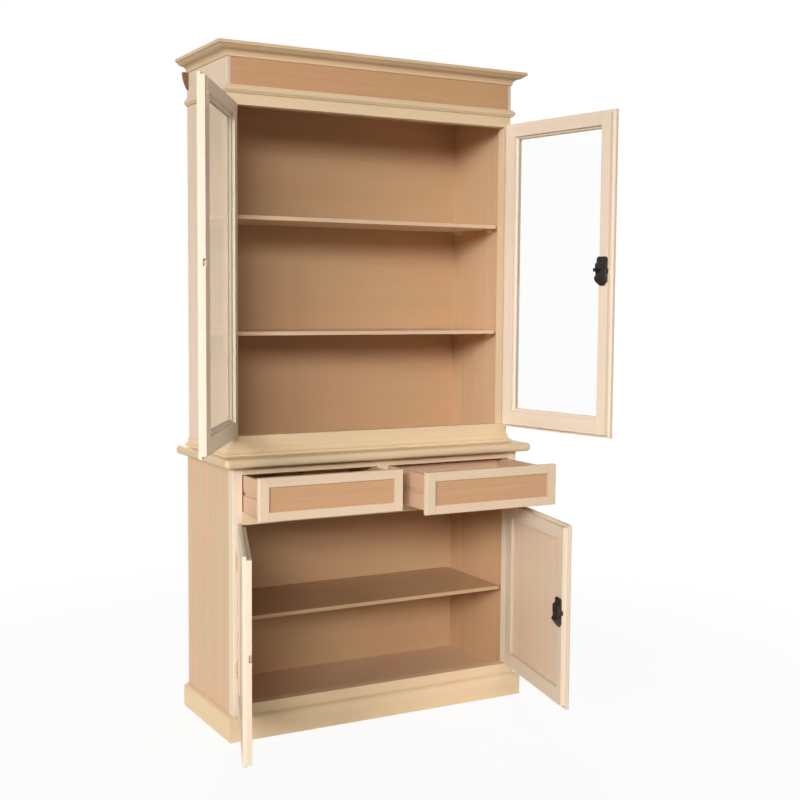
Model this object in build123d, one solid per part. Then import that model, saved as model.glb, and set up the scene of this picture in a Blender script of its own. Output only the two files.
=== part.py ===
from build123d import *
from dataclasses import dataclass
import os

# China cabinet in two cases: a glazed upper case stands on a lower case that has two
# drawers over a cupboard. Millimetres, +Z up, front towards -Y.
# The origin is on the floor, under the centre of the plinth.
# The doors stand open and the drawers stand pulled out.

# Heights, from the floor up
plinth_height = 75.0
lower_bottom_rail_height = 33.0
lower_opening_height = 556.0
drawer_rail_height = 41.0
drawer_opening_height = 112.5
lower_top_rail_height = 23.5
counter_thickness = 28.0
upper_bottom_rail_height = 60.5
upper_opening_height = 998.0
upper_top_rail_height = 57.0
frieze_height = 82.5
cornice_height = 40.0

# Widths and depths
opening_width = 964.0
lower_stile_width = 30.5
upper_stile_width = 25.0
case_depth = 400.0
upper_setback = 52.0
frame_depth = 35.0
frame_corner_radius = 2.5

# Boards
lower_side_thickness = 18.0
upper_side_thickness = 12.0
back_thickness = 10.0
lower_floor_thickness = 12.0
upper_floor_thickness = 12.0
top_board_thickness = 16.0
dust_board_thickness = 12.0
partition_thickness = 14.0
drawer_divider_width = 40.0
floor_clearance = 0.4

# Plinth
plinth_projection = 17.0
plinth_board_thickness = 28.0
plinth_back_thickness = 20.0
plinth_round = 14.0
plinth_quirk = 2.0
bearer_width = 40.0
bearer_spacing = 400.0

# Counter
counter_front_overhang = 40.0
counter_side_overhang = 37.5
counter_corner_radius = 16.0
counter_edge_radius = 12.5

# Shelves and the dowels that carry them
shelf_thickness = 12.0
shelf_setback = 5.0
shelf_back_gap = 1.0
shelf_end_gap = 4.0
lower_shelf_height = 295.0
upper_shelf_low_height = 378.0
upper_shelf_high_height = 734.0
peg_radius = 5.0
peg_hole_depth = 8.0
peg_reach = 24.0
peg_from_shelf_edge = 45.0

# Mouldings
base_moulding_height = 24.0
base_moulding_projection = 14.0
base_moulding_lip = 3.0
base_moulding_foot = 6.0
base_moulding_hollow = 3.5
astragal_height = 22.5
astragal_projection = 11.0
astragal_fillet = 3.0
cornice_projection = 39.0
cornice_seat = 12.0
cornice_fascia_height = 10.0
cornice_cove_radius = 16.0
cornice_fillet = 3.0
cornice_ovolo_bulge = 1.5
frieze_board_thickness = 19.0
corbel_projection = 18.0
corbel_height = 55.0
corbel_thickness = 16.0
corbel_swell = 3.0

# Doors: each has a tongue inside the opening and a thinner lip over the face frame
door_gap = 1.5
door_lip_gap = 1.0
door_lip_thickness = 11.0
door_tongue_thickness = 14.0
door_lip_side = 11.0
door_lip_end = 9.0
door_edge_round = 4.0
door_hinge_stile = 42.0
door_meeting_stile = 47.0
door_meeting_offset = 3.5
upper_door_top_rail = 37.0
upper_door_bottom_rail = 47.5
lower_door_top_rail = 42.0
lower_door_bottom_rail = 48.0
upper_left_angle = 121.3
upper_right_angle = 99.5
lower_left_angle = 110.2
lower_right_angle = 77.5

# Glass, glazing beads and wooden door panels
glass_ledge = 8.0
glass_ledge_thickness = 5.0
glass_thickness = 3.0
glass_edge_gap = 1.0
bead_size = 8.0
bead_round = 6.0
door_panel_thickness = 8.0
door_panel_recess = 7.0
panel_groove_depth = 8.0
panel_groove_gap = 0.3

# Hinges
hinge_height = 50.0
hinge_outset = 0.5
hinge_forward = 4.5
hinge_knuckle_radius = 3.5
hinge_pin_radius = 1.5
hinge_pin_clearance = 0.05
hinge_pin_head_radius = 2.4
hinge_pin_head_height = 1.5
hinge_door_knuckle_height = 20.0
hinge_knuckle_gap = 0.3
hinge_leaf_thickness = 1.2
hinge_leaf_width = 13.0
hinge_notch_clearance = 0.7
hinge_from_door_end = 110.0
upper_hinge_count = 3
lower_hinge_count = 2

# Flush bolts let into the left doors
bolt_from_meeting_edge = 34.0
bolt_plate_width = 14.0
bolt_plate_thickness = 1.5
top_bolt_length = 66.0
bottom_bolt_length = 85.0
bolt_rod_radius = 2.5
bolt_rod_clearance = 0.1
bolt_channel_clearance = 0.4
bolt_travel = 12.0
bolt_from_door_end = 3.0
bolt_nose_inset = 2.0
bolt_tail_inset = 4.0
bolt_thumb_width = 3.6
bolt_thumb_height = 8.0
bolt_thumb_proud = 1.5
bolt_thumb_clearance = 0.4
bolt_hole_clearance = 0.8
bolt_hole_depth = 14.0

# Locks on the right doors
upper_lock_height = 510.5
lower_lock_height = 288.0
lock_case_width = 42.0
lock_case_height = 90.0
lock_case_depth = 12.5
lock_case_wall = 1.5
lock_plate_thickness = 5.0
lock_plate_foot = 2.5
lock_plate_top = 28.0
lock_case_top = 22.0
lock_case_bottom = 14.0
lock_beak_depth = 16.5
lock_beak_drop = 22.0
lock_top_cut = 6.0
lock_bottom_cut = 12.0
lock_scallop_radius = 16.0
lock_scallop_depth = 3.0
lock_scallop_drop = 7.5
lock_window_depth = 4.5
lock_window_start = 5.5
lock_windows = ((11.0, 19.0), (-16.0, -8.0))
lock_edge_inset = 0.5
lock_stud_width = 8.0
lock_stud_height = 11.0
lock_stud_rise = 3.5
lock_stud_proud = 14.0
lock_stud_clearance = 0.5
lock_bolt_height = 14.0
lock_bolt_sunk = 5.0
lock_bolt_raised = 3.0
lock_bolt_clearance = 0.4
lock_bolt_tail = 7.0
lock_bolt_nose_inset = 2.0
lock_bolt_travel = 10.0
lock_talon_half_width = 5.5
lock_talon_depth = 4.0
strike_depth = 12.0
strike_clearance = 3.0
keyhole_drop = 14.0
keyhole_radius = 3.3
escutcheon_width = 18.0
escutcheon_height = 32.0
escutcheon_corner = 7.2
escutcheon_thickness = 1.5

# Drawers
drawer_lip = 9.0
drawer_front_thickness = 18.0
drawer_front_stile = 31.0
drawer_front_rail = 28.0
drawer_front_round = 3.0
drawer_panel_thickness = 7.0
drawer_panel_recess = 6.0
drawer_side_gap = 4.5
drawer_bottom_gap = 1.0
drawer_top_gap = 2.5
drawer_length = 300.0
drawer_wall = 12.0
drawer_back_drop = 8.0
drawer_bottom_thickness = 5.0
drawer_bottom_raise = 8.0
drawer_bottom_groove = 5.0
runner_height = 11.2
runner_gap = 0.4
runner_groove_depth = 6.0
runner_tip_gap = 0.8
left_drawer_pull = 136.0
right_drawer_pull = 243.0

# How far a cutting block runs past the faces that it cuts
cut_margin = 1.0

# From the corner round which a quarter arc turns, in X or Y, to the arc's middle, per radius
quarter_middle = 1 - 0.5 ** 0.5

# Levels and planes worked out from the sizes above
lower_opening_bottom = plinth_height + lower_bottom_rail_height
lower_opening_top = lower_opening_bottom + lower_opening_height
drawer_opening_bottom = lower_opening_top + drawer_rail_height
drawer_opening_top = drawer_opening_bottom + drawer_opening_height
lower_case_top = drawer_opening_top + lower_top_rail_height
counter_top = lower_case_top + counter_thickness
upper_opening_bottom = counter_top + upper_bottom_rail_height
upper_opening_top = upper_opening_bottom + upper_opening_height
upper_case_top = upper_opening_top + upper_top_rail_height
frieze_top = upper_case_top + frieze_height

opening_half = opening_width / 2
lower_half = opening_half + lower_stile_width
upper_half = opening_half + upper_stile_width
lower_inner_half = lower_half - lower_side_thickness
upper_inner_half = upper_half - upper_side_thickness
divider_half = drawer_divider_width / 2

front = (plinth_projection - case_depth) / 2
rear = front + case_depth
frame_back = front + frame_depth
back_front = rear - back_thickness
upper_front = front + upper_setback
upper_frame_back = upper_front + frame_depth
shelf_half = opening_half - shelf_end_gap


def block(x0, x1, y0, y1, z0, z1):
    """A box between two corners, given in any order."""
    centre = Pos((x0 + x1) / 2, (y0 + y1) / 2, (z0 + z1) / 2)
    return centre * Box(abs(x1 - x0), abs(y1 - y0), abs(z1 - z0))


def rod_z(x, y, z0, z1, radius):
    """An upright round rod."""
    return Pos(x, y, (z0 + z1) / 2) * Cylinder(radius, abs(z1 - z0))


def rod_x(x0, x1, y, z, radius):
    """A round rod along X."""
    return Pos((x0 + x1) / 2, y, z) * Rot(0, 90, 0) * Cylinder(radius, abs(x1 - x0))


def rod_y(x, y0, y1, z, radius):
    """A round rod along Y."""
    return Pos(x, (y0 + y1) / 2, z) * Rot(90, 0, 0) * Cylinder(radius, abs(y1 - y0))


def prism_x(points, x0, x1):
    """A solid between two X planes, with an outline of (Y, Z) points."""
    outline = Polyline(*[(x0, y, z) for y, z in points], close=True)
    return extrude(make_face(outline), amount=x1 - x0, dir=(1, 0, 0))


def prism_y(points, y0, y1):
    """A solid between two Y planes, with an outline of (X, Z) points."""
    outline = Polyline(*[(x, y0, z) for x, z in points], close=True)
    return extrude(make_face(outline), amount=y1 - y0, dir=(0, 1, 0))


def mirrored(shape):
    """The same piece on the other side of the cabinet."""
    return mirror(shape, Plane.YZ)


def front_length(profile, half_width, face_y, reach, seat):
    """A moulding length across the front, mitred at both ends.

    The profile is drawn with X pointing out of the case and Y up.
    """
    end = half_width + reach
    plane = Plane(origin=(end, face_y, 0), x_dir=(0, -1, 0), z_dir=(-1, 0, 0))
    bar = extrude(plane * profile, amount=2 * end)
    inner = half_width - seat
    plan = Polyline(
        (-end, face_y - reach), (end, face_y - reach),
        (inner, face_y + seat), (-inner, face_y + seat), close=True,
    )
    return bar & extrude(make_face(plan), amount=frieze_top + cornice_height)


def side_length(profile, half_width, face_y, reach, seat):
    """A moulding length along the right side, mitred at the front and square at the back."""
    plane = Plane(origin=(half_width, rear, 0), x_dir=(1, 0, 0), z_dir=(0, -1, 0))
    bar = extrude(plane * profile, amount=rear - face_y + reach)
    end = half_width + reach
    inner = half_width - seat
    plan = Polyline(
        (end, face_y - reach), (end, rear), (inner, rear), (inner, face_y + seat), close=True,
    )
    return bar & extrude(make_face(plan), amount=frieze_top + cornice_height)


def moulding(profile, half_width, face_y, reach, seat):
    """Front, left and right lengths of one moulding."""
    right = side_length(profile, half_width, face_y, reach, seat)
    return [front_length(profile, half_width, face_y, reach, seat), mirrored(right), right]


# Plinth

plinth_seat = plinth_board_thickness - plinth_projection
plinth_back_front = rear - plinth_back_thickness
floor_base = plinth_height - lower_floor_thickness


def plinth_profile():
    """Upright board with a quarter-round top edge above a flat face."""
    face = plinth_projection
    shoulder = plinth_height - plinth_quirk
    start = shoulder - plinth_round
    turn = plinth_round * quarter_middle
    edge = Polyline((face - plinth_round, shoulder), (face - plinth_round, plinth_height),
                    (-plinth_seat, plinth_height), (-plinth_seat, 0), (face, 0), (face, start))
    nose = ThreePointArc((face, start), (face - turn, shoulder - turn), (face - plinth_round, shoulder))
    return make_face(edge + nose)


def plinth_frame():
    back = block(-lower_half + plinth_seat, lower_half - plinth_seat,
                 plinth_back_front, rear, 0, plinth_height)
    return moulding(plinth_profile(), lower_half, front, plinth_projection, plinth_seat) + [back]


def plinth_bearers():
    """Three boards on edge, front to back, under the floor of the lower case."""
    bearers = []
    for index in (-1, 0, 1):
        x = index * bearer_spacing
        bearers.append(block(x - bearer_width / 2, x + bearer_width / 2,
                             front + plinth_seat, plinth_back_front, 0, floor_base))
    return bearers


# Lower case

def peg_spots(shelf_bottom, front_edge):
    """Y and Z of the two dowels under each end of a shelf."""
    rear_edge = back_front - shelf_back_gap
    z = shelf_bottom - peg_radius
    return [(front_edge + peg_from_shelf_edge, z), (rear_edge - peg_from_shelf_edge, z)]


lower_shelf_top = plinth_height + lower_shelf_height
lower_shelf_front = frame_back + shelf_setback
upper_shelf_front = upper_frame_back + shelf_setback
upper_shelf_tops = [counter_top + upper_shelf_low_height, counter_top + upper_shelf_high_height]
lower_peg_spots = peg_spots(lower_shelf_top - shelf_thickness, lower_shelf_front)
upper_peg_spots = [spot for top in upper_shelf_tops
                   for spot in peg_spots(top - shelf_thickness, upper_shelf_front)]


def pegs_for(inner_half, spots, radius):
    """Dowels in the right side panel at the given spots."""
    start = inner_half + peg_hole_depth
    return [rod_x(start, inner_half - peg_reach, y, z, radius) for y, z in spots]


def shelf_pegs():
    right = pegs_for(lower_inner_half, lower_peg_spots, peg_radius)
    right += pegs_for(upper_inner_half, upper_peg_spots, peg_radius)
    return right + [mirrored(peg) for peg in right]


def lower_side():
    side = block(lower_inner_half, lower_half, frame_back, rear, plinth_height, lower_case_top)
    for peg in pegs_for(lower_inner_half, lower_peg_spots, peg_radius):
        side -= peg
    return side


def lower_back():
    return block(-lower_inner_half, lower_inner_half, back_front, rear, plinth_height, lower_case_top)


def lower_floor():
    half = lower_half - plinth_seat - floor_clearance
    return block(-half, half, front + plinth_seat + floor_clearance,
                 plinth_back_front - floor_clearance, floor_base, plinth_height)


def stile(inner, outer, face_y, z0, z1):
    """A right-hand face frame stile with its outer front edge rounded."""
    bar = block(inner, outer, face_y, face_y + frame_depth, z0, z1)
    corner = bar.edges().filter_by(Axis.Z).sort_by(Axis.Y)[:2].sort_by(Axis.X)[-1]
    return fillet(corner, frame_corner_radius)


def lower_stiles():
    right = stile(opening_half, lower_half, front, plinth_height, lower_case_top)
    return [mirrored(right), right]


def frame_rail(face_y, z0, z1):
    return block(-opening_half, opening_half, face_y, face_y + frame_depth, z0, z1)


def drawer_divider():
    return block(-divider_half, divider_half, front, frame_back,
                 drawer_opening_bottom, drawer_opening_top)


def drawer_partition():
    """Upright board behind the divider that carries the inner drawer runners."""
    half = partition_thickness / 2
    return block(-half, half, frame_back, back_front, lower_opening_top, lower_case_top)


def shelf(top, front_edge):
    return block(-shelf_half, shelf_half, front_edge, back_front - shelf_back_gap,
                 top - shelf_thickness, top)


def counter():
    """Counter board with a rounded nose on its front and both sides."""
    half = lower_half + counter_side_overhang
    board = block(-half, half, front - counter_front_overhang, rear, lower_case_top, counter_top)
    corners = board.edges().filter_by(Axis.Z).sort_by(Axis.Y)[:2]
    board = fillet(corners, counter_corner_radius)
    faces = board.faces().sort_by(Axis.Z)
    rims = ShapeList(faces[0].edges() + faces[-1].edges())
    return fillet(rims.sort_by(Axis.Y)[:-2], counter_edge_radius)


# Upper case

def upper_side():
    side = block(upper_inner_half, upper_half, upper_frame_back, rear, counter_top, upper_case_top)
    for peg in pegs_for(upper_inner_half, upper_peg_spots, peg_radius):
        side -= peg
    return side


def upper_back():
    return block(-upper_inner_half, upper_inner_half, back_front, rear, counter_top, frieze_top)


def upper_floor():
    return block(-upper_inner_half, upper_inner_half, upper_frame_back, back_front,
                 counter_top, counter_top + upper_floor_thickness)


def upper_top():
    return block(-upper_inner_half, upper_inner_half, upper_frame_back, back_front,
                 upper_case_top - top_board_thickness, upper_case_top)


def upper_stiles():
    right = stile(opening_half, upper_half, upper_front, counter_top, upper_case_top)
    return [mirrored(right), right]


def frieze_board():
    return block(-upper_inner_half, upper_inner_half, upper_front,
                 upper_front + frieze_board_thickness, upper_case_top, frieze_top)


def frieze_side():
    board = block(upper_inner_half, upper_half, upper_front, rear, upper_case_top, frieze_top)
    corner = board.edges().filter_by(Axis.Z).sort_by(Axis.Y)[:2].sort_by(Axis.X)[-1]
    return fillet(corner, frame_corner_radius)


def dust_board():
    return block(-upper_inner_half, upper_inner_half, upper_front + frieze_board_thickness,
                 back_front, frieze_top - dust_board_thickness, frieze_top)


def base_moulding_profile():
    """Cove that runs from a thin top lip out to a square foot on the counter."""
    lip = base_moulding_lip
    top = counter_top + base_moulding_height
    foot = counter_top + base_moulding_foot
    out = base_moulding_projection
    cove_top = top - lip
    edge = Polyline((lip, cove_top), (lip, top), (0, top), (0, counter_top), (out, counter_top), (out, foot))
    return make_face(edge + SagittaArc((out, foot), (lip, cove_top), base_moulding_hollow))


def astragal_profile():
    """Flat band with a half-round nose."""
    bottom = upper_case_top - astragal_height
    flat = astragal_projection / 2
    low = bottom + astragal_fillet
    high = upper_case_top - astragal_fillet
    edge = Polyline((flat, high), (flat, upper_case_top), (0, upper_case_top),
                    (0, bottom), (flat, bottom), (flat, low))
    nose = ThreePointArc((flat, low), (astragal_projection, (low + high) / 2), (flat, high))
    return make_face(edge + nose)


def cornice_profile():
    """From the bottom: a small fillet, a cove, a step, an ovolo and a square fascia."""
    base = frieze_top
    top = base + cornice_height
    fascia = top - cornice_fascia_height
    start = cornice_fillet
    cove_end = start + cornice_cove_radius
    cove_low = base + cornice_fillet
    cove_high = cove_low + cornice_cove_radius
    hollow = cornice_cove_radius * quarter_middle
    ovolo_end = cornice_projection - cornice_fillet
    edge = Polyline((ovolo_end, fascia), (cornice_projection, fascia), (cornice_projection, top),
                    (-cornice_seat, top), (-cornice_seat, base), (start, base), (start, cove_low))
    cove = ThreePointArc((start, cove_low), (start + hollow, cove_high - hollow), (cove_end, cove_high))
    ovolo = SagittaArc((cove_end, cove_high), (ovolo_end, fascia), -cornice_ovolo_bulge)
    return make_face(edge + cove + ovolo)


def corbel():
    """Curved block under the rear end of the right cornice length."""
    plane = Plane(origin=(upper_half, rear, frieze_top), x_dir=(1, 0, 0), z_dir=(0, -1, 0))
    edge = Polyline((0, -corbel_height), (0, 0), (corbel_projection, 0))
    middle = (corbel_projection / 2 + corbel_swell, -corbel_height / 2 - corbel_swell)
    curve = ThreePointArc((corbel_projection, 0), middle, (0, -corbel_height))
    return extrude(plane * make_face(edge + curve), amount=corbel_thickness)


def cornice():
    lengths = moulding(cornice_profile(), upper_half, upper_front, cornice_projection, cornice_seat)
    right = corbel()
    return lengths + [mirrored(right), right]


# Doors, made closed and then turned open about their hinge pins

@dataclass(frozen=True)
class Door:
    """One door. The side is +1 for a door hinged on the right and -1 for the left."""

    name: str
    side: int
    face_y: float
    opening_bottom: float
    opening_top: float
    bottom_rail: float
    top_rail: float
    hinge_count: int
    angle: float

    @property
    def hinge_edge(self):
        return self.side * (opening_half - door_gap)

    @property
    def lip_hinge_edge(self):
        return self.hinge_edge + self.side * door_lip_side

    @property
    def lip_meeting_edge(self):
        return door_meeting_offset + self.side * door_gap / 2

    @property
    def meeting_edge(self):
        return self.lip_meeting_edge + door_lip_side

    @property
    def bottom(self):
        return self.opening_bottom + door_gap

    @property
    def top(self):
        return self.opening_top - door_gap

    @property
    def lip_back(self):
        return self.face_y - door_lip_gap

    @property
    def outer_face(self):
        return self.lip_back - door_lip_thickness

    @property
    def inner_face(self):
        return self.lip_back + door_tongue_thickness

    @property
    def window(self):
        """Clear field between the frame members: X at the hinge and at the seam, then Z."""
        return (self.hinge_edge - self.side * door_hinge_stile,
                self.lip_meeting_edge + self.side * door_meeting_stile,
                self.bottom + self.bottom_rail, self.top - self.top_rail)

    @property
    def axis_x(self):
        return self.lip_hinge_edge + self.side * hinge_outset

    @property
    def axis_y(self):
        return self.face_y - hinge_forward

    @property
    def hinge_levels(self):
        low = self.bottom + hinge_from_door_end
        high = self.top - hinge_from_door_end
        step = (high - low) / (self.hinge_count - 1)
        return [low + step * index for index in range(self.hinge_count)]

    def opened(self, shape):
        """The piece turned with the door to where the door stands open."""
        return shape.rotate(Axis((self.axis_x, self.axis_y, 0), (0, 0, 1)), self.side * self.angle)

    def direction(self, x, y, z):
        """A direction on the closed door, turned with the open door."""
        turned = Vector(x, y, z).rotate(Axis.Z, self.side * self.angle)
        return turned.X, turned.Y, turned.Z

    def point(self, x, y, z):
        """A point on the closed door, turned with the open door."""
        arm = self.direction(x - self.axis_x, y - self.axis_y, 0)
        return self.axis_x + arm[0], self.axis_y + arm[1], z


upper_left = Door("upper_left", -1, upper_front, upper_opening_bottom, upper_opening_top,
                  upper_door_bottom_rail, upper_door_top_rail, upper_hinge_count, upper_left_angle)
upper_right = Door("upper_right", 1, upper_front, upper_opening_bottom, upper_opening_top,
                   upper_door_bottom_rail, upper_door_top_rail, upper_hinge_count, upper_right_angle)
lower_left = Door("lower_left", -1, front, lower_opening_bottom, lower_opening_top,
                  lower_door_bottom_rail, lower_door_top_rail, lower_hinge_count, lower_left_angle)
lower_right = Door("lower_right", 1, front, lower_opening_bottom, lower_opening_top,
                   lower_door_bottom_rail, lower_door_top_rail, lower_hinge_count, lower_right_angle)


def grown(window, side, amount):
    """A window field made larger by the amount on all four edges."""
    hinge_x, meeting_x, low, high = window
    return hinge_x + side * amount, meeting_x - side * amount, low - amount, high + amount


def field(window, y0, y1):
    return block(window[0], window[1], y0, y1, window[2], window[3])


def door_blank(door):
    """Lip and tongue of a door as one board, with its outer edges rounded."""
    lip = block(door.lip_hinge_edge, door.lip_meeting_edge, door.outer_face, door.lip_back,
                door.bottom - door_lip_end, door.top + door_lip_end)
    rim = lip.faces().sort_by(Axis.Y)[0].edges()
    lip = fillet(rim, door_edge_round)
    tongue = block(door.hinge_edge, door.meeting_edge, door.lip_back, door.inner_face,
                   door.bottom, door.top)
    return lip + tongue


def notch_x(door):
    """Bottom of the notch that clears the knuckles."""
    return door.axis_x - door.side * (hinge_knuckle_radius + hinge_notch_clearance)


def hinge_cuts(door, level):
    """Knuckle notch in the lip and the two shallow beds for the door leaf."""
    half = hinge_height / 2 + hinge_pin_head_height + hinge_notch_clearance
    notch = block(notch_x(door), door.axis_x + door.side * cut_margin,
                  door.outer_face - cut_margin, door.lip_back, level - half, level + half)
    return [notch, leaf_flat(door, level), leaf_edge(door, level)]


def leaf_flat(door, level):
    """Part of the door leaf that lies in the back of the lip."""
    half = hinge_height / 2
    return block(door.hinge_edge - door.side * hinge_leaf_thickness, notch_x(door),
                 door.lip_back - hinge_leaf_thickness, door.lip_back, level - half, level + half)


def leaf_edge(door, level):
    """Part of the door leaf that lies in the hinge edge of the tongue."""
    half = hinge_height / 2
    return block(door.hinge_edge, door.hinge_edge - door.side * hinge_leaf_thickness,
                 door.lip_back, door.lip_back + hinge_leaf_width, level - half, level + half)


def door_leaves(door):
    """Door leaves with their middle knuckles, bored for the pins."""
    leaves = []
    half = hinge_door_knuckle_height / 2
    for level in door.hinge_levels:
        web = block(door.axis_x, notch_x(door), door.axis_y, door.lip_back, level - half, level + half)
        leaf = leaf_flat(door, level) + leaf_edge(door, level) + web
        leaf += rod_z(door.axis_x, door.axis_y, level - half, level + half, hinge_knuckle_radius)
        leaf -= rod_z(door.axis_x, door.axis_y, level - hinge_height, level + hinge_height,
                      hinge_pin_radius + hinge_pin_clearance)
        leaves.append(door.opened(leaf))
    return leaves


def frame_leaf(door, level):
    """Leaf on the face frame with its upper and lower knuckles."""
    half = hinge_height / 2
    start = hinge_door_knuckle_height / 2 + hinge_knuckle_gap
    plate_x = door.axis_x + door.side * hinge_knuckle_radius
    leaf = block(plate_x, door.axis_x + door.side * hinge_leaf_width,
                 door.face_y - hinge_leaf_thickness, door.face_y, level - half, level + half)
    for sign in (-1, 1):
        z0 = level + sign * start
        z1 = level + sign * half
        leaf += block(door.axis_x, plate_x, door.axis_y, door.face_y, z0, z1)
        leaf += rod_z(door.axis_x, door.axis_y, z0, z1, hinge_knuckle_radius)
    return leaf - rod_z(door.axis_x, door.axis_y, level - hinge_height, level + hinge_height,
                        hinge_pin_radius)


def hinge_pin(door, level):
    half = hinge_height / 2
    pin = rod_z(door.axis_x, door.axis_y, level - half, level + half, hinge_pin_radius)
    for sign in (-1, 1):
        z0 = level + sign * half
        pin += rod_z(door.axis_x, door.axis_y, z0, z0 + sign * hinge_pin_head_height, hinge_pin_head_radius)
    return pin


def frame_hinge_halves(doors):
    """Frame leaves and pins of all the hinges."""
    pieces = []
    for door in doors:
        for level in door.hinge_levels:
            pieces += [frame_leaf(door, level), hinge_pin(door, level)]
    return pieces


def split_frame(ring, side, seam):
    """Cuts a ring into its two stiles and two rails along the seams of the field."""
    hinge_x, meeting_x, low, high = seam
    far = side * opening_width
    middle = (low + high) / 2
    span = ring.bounding_box()
    zones = [(hinge_x, hinge_x + far, 0, frieze_top), (meeting_x, meeting_x - far, 0, frieze_top),
             (hinge_x, meeting_x, 0, middle), (hinge_x, meeting_x, middle, frieze_top)]
    return [ring & field((x0, x1, z0, z1), span.min.Y, span.max.Y) for x0, x1, z0, z1 in zones]


def hinged_ring(door, cuts):
    """A door blank with its hinge cuts and the given openings taken out."""
    ring = door_blank(door)
    for level in door.hinge_levels:
        cuts = cuts + hinge_cuts(door, level)
    for cut in cuts:
        ring -= cut
    return ring


def glazing_beads(door):
    """Four quarter-round beads that hold the glass from inside."""
    hinge_x, meeting_x, low, high = door.window
    y0 = door.outer_face + glass_ledge_thickness + glass_thickness
    y1 = y0 + bead_size
    inner = grown(door.window, door.side, -bead_size)
    bars = [
        (block(hinge_x, inner[0], y0, y1, low, high), Axis.Z, inner[0], None),
        (block(meeting_x, inner[1], y0, y1, low, high), Axis.Z, inner[1], None),
        (block(inner[0], inner[1], y0, y1, low, inner[2]), Axis.X, None, inner[2]),
        (block(inner[0], inner[1], y0, y1, inner[3], high), Axis.X, None, inner[3]),
    ]
    beads = []
    for bar, direction, x, z in bars:
        edges = [edge for edge in bar.edges().filter_by(direction) if edge.center().Y > (y0 + y1) / 2]
        if x is not None:
            nose = min(edges, key=lambda edge: abs(edge.center().X - x))
        else:
            nose = min(edges, key=lambda edge: abs(edge.center().Z - z))
        beads.append(fillet(nose, bead_round))
    return beads


def glazed_frame(door, fittings):
    """Stiles, rails and beads of a glazed door."""
    sight = grown(door.window, door.side, -glass_ledge)
    back = door.inner_face + cut_margin
    cuts = [field(sight, door.outer_face - cut_margin, back),
            field(door.window, door.outer_face + glass_ledge_thickness, back)]
    ring = hinged_ring(door, cuts + fittings)
    pieces = split_frame(ring, door.side, sight) + glazing_beads(door)
    return [door.opened(piece) for piece in pieces]


def door_glass(door):
    pane = grown(door.window, door.side, -glass_edge_gap)
    y0 = door.outer_face + glass_ledge_thickness
    return door.opened(field(pane, y0, y0 + glass_thickness))


def panelled_frame(door, fittings):
    """Stiles and rails of a door with a wooden panel in a groove."""
    groove = grown(door.window, door.side, panel_groove_depth)
    y0 = door.outer_face + door_panel_recess
    cuts = [field(door.window, door.outer_face - cut_margin, door.inner_face + cut_margin),
            field(groove, y0 - panel_groove_gap, y0 + door_panel_thickness + panel_groove_gap)]
    ring = hinged_ring(door, cuts + fittings)
    return [door.opened(piece) for piece in split_frame(ring, door.side, door.window)]


def door_panel(door):
    panel = grown(door.window, door.side, panel_groove_depth - panel_groove_gap)
    y0 = door.outer_face + door_panel_recess
    return door.opened(field(panel, y0, y0 + door_panel_thickness))


# Flush bolts let into the left doors

def bolt_x(door):
    return door.meeting_edge + door.side * bolt_from_meeting_edge


def bolt_y(door):
    return door.inner_face - bolt_plate_thickness - bolt_rod_clearance - bolt_rod_radius


def bolt_span(end_z, inward, length):
    """Z of the bolt plate's end near the door's end, and of its far end."""
    near = end_z + inward * bolt_from_door_end
    return near, near + inward * length


def bolt_recess(door, end_z, inward, length):
    """Recess for the plate, and behind it the channel for the rod, open at the door's end."""
    x = bolt_x(door)
    near, far = bolt_span(end_z, inward, length)
    back = door.inner_face + cut_margin
    seat = block(x - bolt_plate_width / 2, x + bolt_plate_width / 2, door.inner_face - bolt_plate_thickness,
                 back, near, far)
    half = bolt_rod_radius + bolt_channel_clearance
    channel = block(x - half, x + half, bolt_y(door) - half, back, end_z - inward * cut_margin,
                    far - inward * (bolt_tail_inset - bolt_channel_clearance))
    return seat + channel


def bolt_plate(door, end_z, inward, length):
    """Flush plate with a slot for the thumb piece. Inward is -1 at the door's top, +1 at its bottom."""
    x = bolt_x(door)
    near, far = bolt_span(end_z, inward, length)
    middle = (near + far) / 2
    plate = block(x - bolt_plate_width / 2, x + bolt_plate_width / 2, door.inner_face - bolt_plate_thickness,
                  door.inner_face, near, far)
    half_x = bolt_thumb_width / 2 + bolt_thumb_clearance
    half_z = (bolt_travel + bolt_thumb_height) / 2 + bolt_thumb_clearance
    slot = block(x - half_x, x + half_x, door.inner_face - bolt_plate_thickness - cut_margin,
                 door.inner_face + cut_margin, middle - half_z, middle + half_z)
    return door.opened(plate - slot)


def bolt_rod(door, end_z, inward, length):
    """Sliding rod behind the plate, with a thumb piece that comes through the slot."""
    x = bolt_x(door)
    near, far = bolt_span(end_z, inward, length)
    nose = end_z + inward * bolt_nose_inset
    rod = rod_z(x, bolt_y(door), nose, far - inward * bolt_tail_inset, bolt_rod_radius)
    middle = (near + far) / 2 + inward * bolt_travel / 2
    half = bolt_thumb_height / 2
    thumb = block(x - bolt_thumb_width / 2, x + bolt_thumb_width / 2, bolt_y(door),
                  door.inner_face + bolt_thumb_proud, middle - half, middle + half)
    return door.opened(rod + thumb)


def bolt_hole(door, end_z, inward):
    """Hole in the face frame rail that takes the end of a bolt."""
    radius = bolt_rod_radius + bolt_hole_clearance
    return rod_z(bolt_x(door), bolt_y(door), end_z, end_z - inward * (bolt_hole_depth + door_gap), radius)


def frame_rails(rails, door, face_y):
    """Face frame rails, bored for the flush bolts of the left door."""
    pieces = []
    for z0, z1 in rails:
        rail = frame_rail(face_y, z0, z1)
        rail -= bolt_hole(door, door.top, -1)
        rail -= bolt_hole(door, door.bottom, 1)
        pieces.append(rail)
    return pieces


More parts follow.
